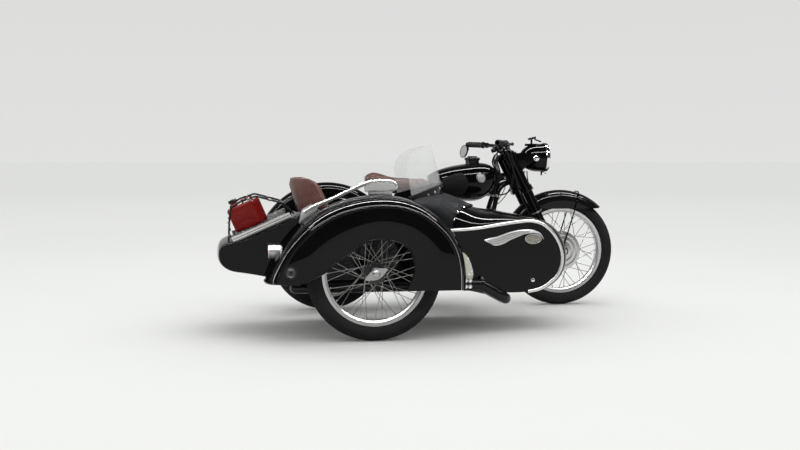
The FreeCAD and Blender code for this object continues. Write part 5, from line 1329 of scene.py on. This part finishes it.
# tension folds fan out from the press studs along both edges, deeper near the studs
fold = np.zeros(len(p))
studs = [(548, -0.55), (548, 0.55), (600, -0.93), (600, 0.93), (700, 0.0), (660, -0.5), (660, 0.5), (520, -0.8), (520, 0.8)]
rng = np.random.RandomState(5)
for sx, sk in studs:
    dx = mm[:, 0] - sx
    dy = mm[:, 1] - (SC + sk * 283.5)
    r = np.hypot(dx, dy)
    ang = np.arctan2(dy, dx)
    fold += np.sin(ang * 11 + rng.rand() * 6.28) * np.exp(-((r - 60) / 40.0) ** 2) * 0.32
fold += wobble(p * np.array([0.5, 1.6, 1.0]), 8.0, 31) * 0.9
soft = wobble(p, 3.0, 7)
edge_f = np.interp(mm[:, 0], [300, 330, 700, 712], [0, 1, 1, 0.4])
set_verts(cmesh, p + n * ((fold * 0.0013 + soft * 0.0014) * edge_f)[:, None])
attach(cmesh, "root")
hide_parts("tonneau_cover")
b = Build()
fe, be = [], []
for k in np.linspace(-0.985, 0.985, 120):
    fe.append((cov_front(k) - 5, SC + k * 283.5, 0))
    be.append((cov_back(k) + 5, SC + k * 283.5, 0))


def on_cover(pts, out):
    q, nn = [], []
    for x, y, _ in pts:
        best = None
        for z in (720, 690, 650, 610, 570, 540):
            ok, loc, nor, _i = cmesh.closest_point_on_mesh(Vector(from_mm((x, y, z))))
            pm = to_mm(loc)
            e = (pm[0] - x) ** 2 + (pm[1] - y) ** 2
            if nor[2] > -0.2 and (best is None or e < best[0] - 4):
                best = (e, pm, np.array(nor))
        if best is None:
            continue
        q.append(best[1] + best[2] * out)
        nn.append(best[2])
    return np.array(q), np.array(nn)


q, nn = on_cover(fe, 0.3)
keep_ = np.r_[True, np.linalg.norm(np.diff(q, axis=0), axis=1) > 1.0]
q, nn = q[keep_], nn[keep_]
b.sweep(q, [(-6, -1.0), (-6, 0.8), (-5, 1.8), (5, 1.8), (6, 0.8), (6, -1.0)], nn, 0)
stitches(b, q, nn, 7.0, 4.0, 1)
hem = b.make("knee_cover_hem", ["grey", "thread"], "root", "grey_leather")
b = Build()
for x, y in ((611, -984), (611, 2 * SC + 984), (700, SC), (672, SC - 120), (672, SC + 120), (640, SC - 205), (640, SC + 205), (575, -985), (575, 2 * SC + 985)):
    q, nn = on_cover([(x - 8, y, 0)], 0.2)
    c, nr = q[0], nn[0]
    b.lathe([(0, 7.5), (1.6, 7.3), (2.4, 6.2), (2.6, 4.6), (3.6, 4.2), (4.8, 3.2), (5.2, 0)], c, nr, 24, 0)
b.make("knee_cover_studs", ["chrome"], "root", "chrome")
me_area = sum(f.area for f in cmesh.data.polygons) / 2
print("knee cover area", round(me_area, 4), "box", [round(float(v), 3) for v in (to_mm(verts_of(cmesh)).max(0) - to_mm(verts_of(cmesh)).min(0)) / 1000])

# ------------------------------------------------------------------ leads and cables
def cable(name, pts, r=2.6, ends=(), a="root", b_="steering", blend=None, mat="rubber"):
    bd = Build()
    ln = flow(pts, 10)
    bd.tube(ln, r, 10, 0)
    for i in (0, -1):
        q = ln[i]
        d = unit(ln[1] - ln[0]) if i == 0 else unit(ln[-2] - ln[-1])
        bd.lathe([(-2, r * 1.2), (-1, r * 1.7), (12, r * 1.7), (14, r * 1.2)], q, d, 12, 1)
    o = bd.make(name, [mat, "steel"], None if blend else "steering", "rubber")
    if blend:
        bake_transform(o)
    return o


# clutch and throttle cables from the bar to the headstock and the frame, a wiring loom, a speedometer cable and a lamp
# wire
cable("cable_clutch", [(1050, 262, 948), (1074, 214, 930), (1092, 150, 880), (1096, 96, 800), (1085, 64, 715), (1052, 52, 650), (1000, 46, 590), (930, 40, 560)], 2.6, blend=((1085, 64, 790), (1040, 50, 640)))
cable("cable_throttle", [(1012, -258, 948), (1046, -210, 915), (1074, -150, 850), (1084, -104, 775), (1074, -74, 700), (1040, -56, 640), (985, -46, 590), (905, -60, 545)], 2.4, blend=((1084, -100, 780), (1036, -56, 636)))
cable("wire_loom", [(1148, -40, 868), (1118, -52, 820), (1100, -60, 760), (1090, -48, 700), (1060, -34, 668), (1010, -30, 660)], 4.0, blend=((1112, -56, 800), (1070, -38, 676)))
cable("speedo_cable", [(1196, 46, 800), (1196, 70, 730), (1216, 88, 640), (1262, 92, 540), (1318, 90, 440), (1366, 66, 370)], 2.8)
cable("lamp_wire", [(1178, -74, 806), (1176, -92, 770), (1180, -101, 738), (1196, -102, 712), (1204, -112, 700)], 3.2)

# the bundle of sleeved cables that comes down behind the fork, close round the steering's own axis
def off_axis(u, y, w):
    sn, cs = math.sin(math.radians(26.2)), math.cos(math.radians(26.2))
    return (1180 + u * cs - w * sn, y, 600 + u * sn + w * cs)


for k, v in enumerate((-39, -31, -24, 27, 36)):
    q = k % 3
    cable("sleeved_cable_%d" % k, [off_axis(-10, v * 1.5, 345), off_axis(-42 - 6 * q, v * 1.3, 312), off_axis(-50 - 7 * q, v * 1.1, 265), (1026 - 5 * q, v, 775),
          (1012 - 6 * q, v, 735), (992 - 8 * q, v, 695), (955 - 10 * q, v * 0.9, 657)], 3.6 if k % 2 else 4.4, blend=(off_axis(-50, 0, 300), off_axis(-50, 0, 215)))

print("soft pieces and cables done")


# ------------------------------------------------------------------ engine: head covers, plugs and leads, bolts, collars, carburettor tops
def rr_ring(x, z, hx, hz, y, r=26.0, n=9):
    out = []
    r = min(r, hx - 1, hz - 1)
    for sx, sz, a0 in ((1, 1, 0), (-1, 1, 90), (-1, -1, 180), (1, -1, 270)):
        for i in range(n):
            a = math.radians(a0 + 90.0 * i / (n - 1))
            out.append((x + sx * (hx - r) + r * math.cos(a), y, z + sz * (hz - r) + r * math.sin(a)))
    return out


b = Build()
for s in (-1, 1):
    cx_ = 705 + (10 if s < 0 else -10)
    cz_ = 335
    rows = []
    for hx, hz, y in ((68, 52, 370), (68, 52, 384), (66.5, 50.5, 387), (62, 46, 388), (62, 46, 398), (58, 42, 404), (48, 33, 408), (30, 18, 410), (8, 4, 410.5)):
        rows.append(rr_ring(cx_, cz_, hx, hz, s * y))
    b.grid(rows, 0, wrap_v=True, caps=True)
    for k in range(-3, 4):
        x = cx_ + k * 16.0
        h = 41.0 - abs(k) * 1.6
        path = [(x, s * (401 + 9.5 * math.sin(math.pi * t) - 3.0 * abs(k) / 3), cz_ - h + 2 * h * t) for t in np.linspace(0, 1, 18)]
        b.sweep(path, [(-2.2, -9), (-2.2, 1.0), (-1.2, 2.2), (1.2, 2.2), (2.2, 1.0), (2.2, -9)], (0, s, 0), 0)
    b.bolt((cx_, s * 408, cz_), (0, s, 0), 9, 9, 1)
    for dx, dz in ((-56, -40), (56, -40), (-56, 40), (56, 40)):
        b.bolt((cx_ + dx, s * 386.0, cz_ + dz), (0, s, 0), 4.6, 5, 1)
    # spark plug and its cap on top of the head, leaning forwards
    d = unit([0.28, 0.25 * s, 1.0])
    p0 = np.array([cx_ + 26, s * 336, cz_ + 66.0])
    b.lathe([(-6, 10), (0, 10), (0, 8), (2, 8)], p0, d, 6, 1)
    b.lathe([(2, 7.2), (4, 6.4), (16, 6.2), (18, 8.5), (34, 8.8), (38, 7.2), (46, 5.0), (46, 0)], p0, d, 20, 2)
    # two push-rod tubes under each barrel with their rubber sleeves
    for dx in (-22, 22):
        b.lathe([(0, 9.5), (212, 9.5)], (cx_ + dx, s * 84, cz_ - 66), (0, s, 0), 20, 3)
        b.lathe([(-2, 12.5), (1, 14), (11, 14), (14, 12.0), (15, 9.6)], (cx_ + dx, s * 84, cz_ - 66), (0, s, 0), 24, 2)
        b.lathe([(-3, 12.5), (0, 13.4), (9, 13.4), (11, 9.6)], (cx_ + dx, s * 284, cz_ - 66), (0, s, 0), 24, 1)
    for i in range(6):
        a = math.radians(60 * i + 30)
        b.bolt((cx_ + 58 * math.cos(a), s * 89.5, cz_ + 58 * math.sin(a)), (0, s, 0), 6, 7, 1)
b.make("head_covers", ["alloy_turned", "steel", "rubber", "steel"], "root", "alloy")

# high-tension leads from the dynamo to the plugs
b = Build()
for s in (-1, 1):
    cx_ = 705 + (10 if s < 0 else -10)
    d = unit([0.28, 0.25 * s, 1.0])
    p0 = np.array([cx_ + 26, s * 336, 401.0]) + d * 44
    ln = flow([p0, p0 + d * 18, (cx_ + 30, s * 300, 486), (cx_ + 20, s * 200, 505), (760, s * 90, 512), (770, s * 40, 500), (772, s * 20, 486)], 8)
    b.tube(ln, 3.4, 10, 0)
b.make("plug_leads", ["rubber"], "root", "rubber")

b = Build()
# dynamo: end band, strap and cap screws
for x in (652, 812):
    b.lathe([(-5, 46.2), (-4, 47.6), (4, 47.6), (5, 46.2)], (x, 0, 452), (1, 0, 0), 64, 1)
b.lathe([(0, 44), (3, 44), (6, 40), (7, 30), (9, 28), (10, 12), (10.5, 0)], (830, 0, 452), (1, 0, 0), 56, 0)
for i in range(3):
    a = math.radians(120 * i + 30)
    b.bolt((837, 35 * math.sin(a), 452 + 35 * math.cos(a)), (1, 0, 0), 4, 4, 1)
# front cover: a raised rib round the face and its screws
fr_ = [(880.4, y, z) for y, z in [(-52, 268), (52, 268), (54, 272), (54, 322), (50, 330), (-50, 330), (-54, 322), (-54, 272)]]
b.sweep(resample(fr_ + fr_[:1], 49)[:-1], [(-3, -1), (-2, 1.6), (2, 1.6), (3, -1)], (1, 0, 0), 0, closed=True)
for y in (-54, 0, 54):
    for z in (258, 336):
        b.bolt((880.2, y * 1.02, z), (1, 0, 0), 4.2, 4, 1)
b.lathe([(0, 34), (4, 33), (6, 28), (6.5, 12), (6.8, 0)], (880.2, 0, 299), (1, 0, 0), 56, 0)
# sides of the crankcase and gearbox: parting rib, screws, cover rib, filler plug, ribs under the sump
for s in (-1, 1):
    ln = [(600, s * 78.2, 238), (700, s * 78.2, 232), (800, s * 78.2, 232), (843, s * 78.2, 240)]
    b.sweep(flow(ln, 6), [(-4, -1), (-3, 2.2), (3, 2.2), (4, -1)], (0, s, 0), 0)
    for x in (612, 660, 750, 798, 836):
        b.bolt((x, s * 78.0, 222), (0, s, 0), 4.6, 5, 1)
    for x, z in ((606, 414), (800, 412), (834, 380), (840, 300)):
        b.bolt((x, s * 78.0, z), (0, s, 0), 4.6, 5, 1)
    pts = [(440, 360), (440, 262), (462, 232), (570, 232), (578, 240), (578, 384), (462, 372)]
    b.sweep(resample([(x, s * 66.2, z) for x, z in pts + pts[:1]], 61)[:-1], [(-3.5, -1), (-2.5, 2.0), (2.5, 2.0), (3.5, -1)], (0, s, 0), 0, closed=True)
    for x, z in ((448, 350), (448, 270), (480, 241), (560, 241), (568, 370), (500, 370)):
        b.bolt((x, s * 67.5, z), (0, s, 0), 4.2, 4.5, 1)
b.lathe([(0, 17), (3, 17), (4, 14), (12, 14), (13, 11), (13.4, 0)], (640, 60, 429), (0, 0, 1), 28, 1)
for k in range(7):
    b.block((640 + 28 * k, 0, 190.5 - 4 * (28 * k) / 180.0), (2.4, 66, 5.0), None, 0, 1.0)
b.make("engine_fittings", ["cast", "steel"], "root", "alloy")

b = Build()
for s in (-1, 1):
    x, y, z = 588, s * 168, 372
    b.lathe([(0, 22.4), (3, 23), (9, 23), (10, 20), (18, 12), (24, 11), (25, 7), (34, 6), (34, 0)], (x, y, z + 48), (0, 0, 1), 32, 0)
    b.lathe([(-3, 23.5), (4, 23.5), (6, 18), (9, 11), (12, 11), (12, 0)], (x - 6, y + s * 34, z + 4), (0, 0, 1), 28, 0)
    b.lathe([(-6, 12), (0, 12), (0, 9), (6, 9), (6, 0)], (x - 6, y + s * 34, z - 46), (0, 0, -1), 6, 1)
    b.lathe([(-2, 19.5), (-1, 23.5), (5, 25), (14, 26.5), (15, 25), (6, 22.5), (0, 19)], (x - 50, y, z), (-1, 0, 0), 40, 0)
    b.lathe([(-3, 18.4), (-2, 24), (3, 24), (4, 18.4)], (x + 36, y, z), (1, 0, 0), 32, 0)
    for q in (-1, 1):
        b.bolt((x + 39.5, y, z + q * 19), (1, 0, 0), 4, 5, 1)
b.make("carburettor_fittings", ["alloy_turned", "steel"], "root", "alloy")

# exhaust: finned collar nuts, clamps, seams round the silencers
b = Build()
for s in (-1, 1):
    x0 = 705 + (10 if s < 0 else -10) + 76
    b.lathe([(-2, 26.5), (0, 30), (15, 30), (17, 26.5), (17, 19.4)], (x0, s * 238, 322), (1, 0, 0), 48, 1)
    for i in range(8):
        a = math.radians(45 * i)
        b.block((x0 + 7.5, s * 238 + 31.5 * math.sin(a), 322 + 31.5 * math.cos(a)), (6.5, 3.0, 3.0), Matrix.Rotation(-a, 3, "X"), 1, 1.0)
    for x, r in ((224, 44.6), (-138, 44.6)):
        b.lathe([(-4, r - 1), (-3, r + 1.2), (0, r + 1.8), (3, r + 1.2), (4, r - 1)], (x, s * 186, 234), (1, 0, 0), 72, 0)
    b.lathe([(-9, 20.5), (-9, 23.4), (9, 23.4), (9, 20.5)], (268, s * 185.5, 233.5), (1, 0, 0.01), 40, 1)
    b.bolt((268, s * 185.5, 233.5 + 26), (0, 0, 1), 4.5, 7, 1)
    b.lathe([(-8, 19.4), (-8, 21.6), (8, 21.6), (8, 19.4)], (640, s * 173, 209), (1, 0, 0), 32, 1)
b.make("exhaust_fittings", ["chrome", "steel"], "root", "chrome")

# final drive: cover screws and filler plug
b = Build()
for i in range(8):
    a = math.radians(45 * i + 22.5)
    b.bolt((78 * math.cos(a), -70.5, AX_Z + 78 * math.sin(a)), (0, -1, 0), 4.6, 5, 0)
b.lathe([(0, 9), (5, 9), (6, 7), (6.2, 0)], (-46, -75.8, AX_Z + 26), (0, -1, 0), 6, 0)
b.lathe([(-7, 27), (-6, 28.8), (6, 28.8), (7, 27)], (400, -72, AX_Z), (1, 0, 0), 48, 1)
for x in (392, 400, 408):
    b.lathe([(-1.6, 26.2), (0, 28.2), (1.6, 26.2)], (x, -72, AX_Z), (1, 0, 0), 40, 1)
b.make("final_drive_fittings", ["steel", "rubber"], "root", "steel")

# battery: lid, filler caps, terminals, clamp strap
b = Build()
b.block((350, 158, 481.5), (50.6, 36.6, 4.5), None, 0, 1.6)
for i in range(3):
    b.lathe([(0, 9.5), (5, 9.5), (6.5, 8), (6.8, 0)], (326 + 24 * i, 158, 485.6), (0, 0, 1), 20, 1)
for x in (312, 388):
    b.lathe([(0, 5.5), (9, 5.0), (9.6, 4.4), (9.8, 0)], (x, 140, 485.6), (0, 0, 1), 16, 2)
for x in (322, 378):
    path = [(x, 121.6, 332), (x, 121.6, 474), (x, 124.0, 486.5), (x, 130, 487.6), (x, 186, 487.6), (x, 192.0, 486.5), (x, 194.4, 474), (x, 194.4, 332)]
    pp = resample(path, 60)
    ups = []
    for q in pp:
        ups.append([0, -1, 0] if q[1] < 123 else ([0, 1, 0] if q[1] > 193 else [0, 0, 1]))
    b.sweep(pp, [(-7, -0.3), (-7, 1.0), (7, 1.0), (7, -0.3)], np.array(ups, float) + np.array([0.0, 0.0, 0.001]), 3)
b.make("battery_fittings", ["rubber", "cap_black", "steel", "steel_dark"], "root", "rubber")

# ------------------------------------------------------------------ saddle's coil springs and nose arm, in place of their solid stand-ins
b = Build()
for s in (-1, 1):
    turns, r = 8.0, 18.5
    ln = [(292 + r * math.cos(2 * math.pi * turns * t), s * 84 + r * math.sin(2 * math.pi * turns * t), 596 + 96 * t) for t in np.linspace(0, 1, 200)]
    b.tube(ln, 3.1, 8, 0)
    b.lathe([(0, 0), (0, 22), (5, 22.5), (7, 20), (7, 15), (3, 14), (3, 0)], (292, s * 84, 590), (0, 0, 1), 32, 0)
    b.lathe([(0, 0), (0, 22), (-5, 22.5), (-7, 20), (-7, 15), (-3, 14), (-3, 0)], (292, s * 84, 705), (0, 0, 1), 32, 0)
    b.lathe([(0, 7), (110, 7)], (292, s * 84, 592), (0, 0, 1), 16, 1)
b.tube([(292, -84, 694), (292, 0, 694), (292, 84, 694)], 8, 16, 0)
b.tube(bent([(292, 0, 694), (420, 0, 676), (560, 0, 700), (575, 0, 722)], 60), 8, 16, 0)
b.bolt((575, 8, 714), (0, 1, 0), 7, 7, 1)
b.bolt((575, -8, 714), (0, -1, 0), 7, 7, 1)
b.make("saddle_coils", ["steel_dark", "steel"], "root", "steel", ("saddle_springs",))

# ------------------------------------------------------------------ frame bolts, head-stock nuts, damper knob, fork nuts
RK = math.radians(26.2)


def lean(u, v, w):
    return np.array([1180 + u * math.cos(RK) - w * math.sin(RK), v, 600 + u * math.sin(RK) + w * math.cos(RK)])


UPW = np.array([-math.sin(RK), 0, math.cos(RK)])
b = Build()
for k in range(8):
    a = math.radians(45 * k)
    rows = []
    c = lean(30 * math.cos(a), 30 * math.sin(a), 373)
    b.lathe([(-12, 0), (-11.5, 6), (-9, 8.4), (0, 9.2), (9, 8.4), (11.5, 6), (12, 0)], c, UPW, 18, 0)
b.lathe([(10, 26), (13, 24), (14, 12), (17, 10), (17.6, 0)], lean(0, 0, 371), UPW, 32, 1)
for s in (-1, 1):
    b.lathe([(0, 17), (2, 19), (7, 19), (8, 17), (8.5, 0)], lean(31, s * 98, 345.6), UPW, 6, 1)
    b.lathe([(-3, 31), (-2, 33.2), (6, 33.2), (7, 31)], lean(31, s * 98, -58), UPW, 40, 1)
    b.lathe([(-2, 31), (0, 33.0), (6, 33.0), (8, 31)], lean(31, s * 98, 78), UPW, 40, 0)
b.lathe([(0, 22), (1, 24), (9, 24), (10, 22)], lean(0, 0, 331), UPW, 6, 1)
b.make("steering_fittings", ["cap_black", "steel"], "steering", "steel")

b = Build()
for s in (-1, 1):
    for x, y, z, r in ((868, 114, 170, 9), (385, 114, 168, 9), (440, 72, 632, 8), (1000, 66, 655, 7)):
        b.bolt((x, s * (y - 2 if y < 100 else y), z), (0, s, 0), r, 7, 0)
    # rear plungers: rubber gaiter rings above and below the axle clamp
    for z in (296, 306, 316, 338, 348):
        b.lathe([(-3.4, 20.2), (0, 23.4), (3.4, 20.2)], (0, s * 102, z if s > 0 else z), (0, 0, 1), 36, 1)
b.make("frame_bolts", ["steel", "rubber"], "root", "steel")

# pressed web behind the head tube, between the top tube and the front tubes
b = Build()
WEB = [(1092, 776), (1009, 769), (997, 738), (992, 704), (1008, 714), (1036, 742), (1074, 752), (1100, 758)]
for s in (-1, 1):
    b.plate(WEB, s * 19.0, s * 14.0, 0, 1.5)
    for x, z in ((1012, 745), (1060, 762)):
        b.bolt((x, s * 18.5, z), (0, s, 0), 4.5, 4, 1)
b.make("head_web", ["chassis", "steel"], "root", "paint_black")

# side car chassis clamps, lugs and leaf ends
b = Build()
for x, y in ((448, -900), (448, -520), (-190, -880), (-190, -560)):
    z = 217 if x > 0 else 250
    b.lathe([(-20, 20.6), (-20, 23), (-14, 24), (-8, 22), (-8, 20.6)], (x, y, z - 4), (0, 0, 1), 32, 0)
for c, d in (((788, -490, 166), (0.27, 0.96, 0.01)), ((150, -399, 172), (0, 1, 0)), ((-60, -417, 190), (0.5, 0.6, 0.6)), ((796, -400, 196), (0.3, 0.5, 0.7))):
    b.lathe([(20, 16.4), (20, 19.5), (30, 19.5), (30, 16.4)], c, d, 28, 0)
for x in (690, 620):
    b.lathe([(-9, 27.3), (-9, 30), (9, 30), (9, 27.3)], (x, -1015, 246), (1, 0, 0), 40, 1)
    b.bolt((x, -1015, 276), (0, 0, 1), 6, 8, 0)
b.make("chassis_clamps", ["steel", "chassis"], "root", "steel")


# ------------------------------------------------------------------ stage, light, camera
bpy.ops.mesh.primitive_plane_add(size=900, location=(0, 0, 0))
floor = bpy.context.object
floor.name = "floor"
fm = Nt("studio_floor").set(Metallic=0.0, IOR=1.4, Specular_IOR_Level=0.05)
fn = fm.noise(0.5, 6.0, 0.6)
ff = fm.noise(9.0, 6.0, 0.7)
fd = fm.node("ShaderNodeSeparateXYZ")
fm.link(fm.tc.outputs["Object"], fd.inputs[0])
far = fm.math("SQRT", fm.math("ADD", fm.math("MULTIPLY", fd.outputs["X"], fd.outputs["X"]), fm.math("MULTIPLY", fd.outputs["Y"], fd.outputs["Y"])))
fc = fm.mix(fm.ramp(fm.math("ADD", fn, fm.math("MULTIPLY", ff, 0.4)), 0.4, 1.0), (0.872, 0.876, 0.862), (0.845, 0.849, 0.836))
# the floor is painted darker with distance from the middle: painted shade standing in for the light falling off far
# from the lamps
fr = fm.ramp(far, 2.5, 30.0)
fr.node.interpolation_type = "SMOOTHSTEP"
fm.colour(fm.mix(fr, fc, (0.795, 0.80, 0.788)))
fm.rough(fm.ramp(ff, 0.3, 0.7, 0.8, 0.95))
floor.data.materials.append(fm.m)

w = bpy.data.worlds.new("studio")
bpy.context.scene.world = w
w.use_nodes = True
wt = w.node_tree
wt.nodes.clear()
wo = wt.nodes.new("ShaderNodeOutputWorld")
bg = wt.nodes.new("ShaderNodeBackground")
lp = wt.nodes.new("ShaderNodeLightPath")
tc = wt.nodes.new("ShaderNodeTexCoord")
sp = wt.nodes.new("ShaderNodeSeparateXYZ")
wt.links.new(tc.outputs["Generated"], sp.inputs[0])


def wramp(src, lo, hi, a, b):
    n = wt.nodes.new("ShaderNodeMapRange")
    n.interpolation_type = "SMOOTHSTEP"
    for k, v in (("From Min", lo), ("From Max", hi), ("To Min", a), ("To Max", b)):
        n.inputs[k].default_value = v
    wt.links.new(src, n.inputs["Value"])
    return n.outputs[0]


def wmath(op, a, b):
    n = wt.nodes.new("ShaderNodeMath")
    n.operation = op
    for i, v in enumerate((a, b)):
        if isinstance(v, (int, float)):
            n.inputs[i].default_value = v
        else:
            wt.links.new(v, n.inputs[i])
    return n.outputs[0]


# what shines back from polished things: a pale wall behind, a darker room on the camera's side and above
behind = wramp(sp.outputs["Y"], -0.35, 0.45, 0.05, 0.42)
high = wramp(sp.outputs["Z"], 0.2, 0.7, 1.0, 0.16)
gloss = wmath("MULTIPLY", behind, high)
isg = wt.nodes.new("ShaderNodeMix")
isg.data_type = "FLOAT"
wt.links.new(lp.outputs["Is Glossy Ray"], isg.inputs[0])
isg.inputs[2].default_value = 0.94
wt.links.new(gloss, isg.inputs[3])
isc = wt.nodes.new("ShaderNodeMix")
isc.data_type = "FLOAT"
wt.links.new(lp.outputs["Is Camera Ray"], isc.inputs[0])
wt.links.new(isg.outputs[0], isc.inputs[2])
# the backdrop seen by the camera is painted a little darker higher up: painted shade on the wall
wt.links.new(wramp(sp.outputs["Z"], -0.01, 0.17, 0.757, 0.722), isc.inputs[3])
wt.links.new(isc.outputs[0], bg.inputs["Strength"])
bg.inputs["Color"].default_value = (0.99, 1.0, 0.985, 1)
wt.links.new(bg.outputs[0], wo.inputs[0])


def area(name, loc, target, sx, sy, power, col=(1, 1, 1)):
    l = bpy.data.lights.new(name, "AREA")
    l.shape = "RECTANGLE"
    l.size, l.size_y, l.energy, l.color = sx, sy, power, col
    o = bpy.data.objects.new(name, l)
    bpy.context.scene.collection.objects.link(o)
    o.location = loc
    o.rotation_euler = (Vector(target) - Vector(loc)).to_track_quat("-Z", "X").to_euler()
    return o


def strip(name, y, z, length, width, power):
    l = bpy.data.lights.new(name, "AREA")
    l.shape = "RECTANGLE"
    l.size, l.size_y, l.energy = length, width, power
    o = bpy.data.objects.new(name, l)
    bpy.context.scene.collection.objects.link(o)
    o.location = (0.2, y, z)
    d = (Vector((0.2, 0, 0.5)) - Vector((0.2, y, z))).normalized()
    x = Vector((1, 0, 0))
    zz = -d
    yy = zz.cross(x).normalized()
    o.rotation_euler = Matrix((x, yy, zz)).transposed().to_euler()
    o.visible_diffuse = False
    return o


strip("strip_near", -2.3, 3.9, 7.5, 0.15, 260)
strip("strip_far", 0.9, 3.9, 7.5, 0.15, 260)
left = area("strip_left", (-5.8, 0.5, 3.3), (-0.4, -0.5, 0.4), 5.6, 0.15, 190)
left.visible_diffuse = False
top = area("top_softbox", (0.0, -0.6, 4.6), (0.0, 0.0, 0.4), 5.0, 4.0, 46)
top.visible_glossy = False


cam = bpy.data.cameras.new("camera")
co = bpy.data.objects.new("camera", cam)
bpy.context.scene.collection.objects.link(co)
cam.sensor_width = 36.0
cam.lens = 48.435
yaw, pitch = 0.1539, 0.0600
eye = Vector((-0.5363 - CX, -6.2436 - CY, 0.8654))
look = Vector((math.sin(yaw) * math.cos(pitch), math.cos(yaw) * math.cos(pitch), -math.sin(pitch)))
co.location = eye
co.rotation_euler = look.to_track_quat("-Z", "Y").to_euler()
cam.clip_start, cam.clip_end = 0.05, 1500
bpy.context.scene.camera = co
bpy.context.scene.view_settings.view_transform = "Standard"
bpy.context.scene.view_settings.look = "None"
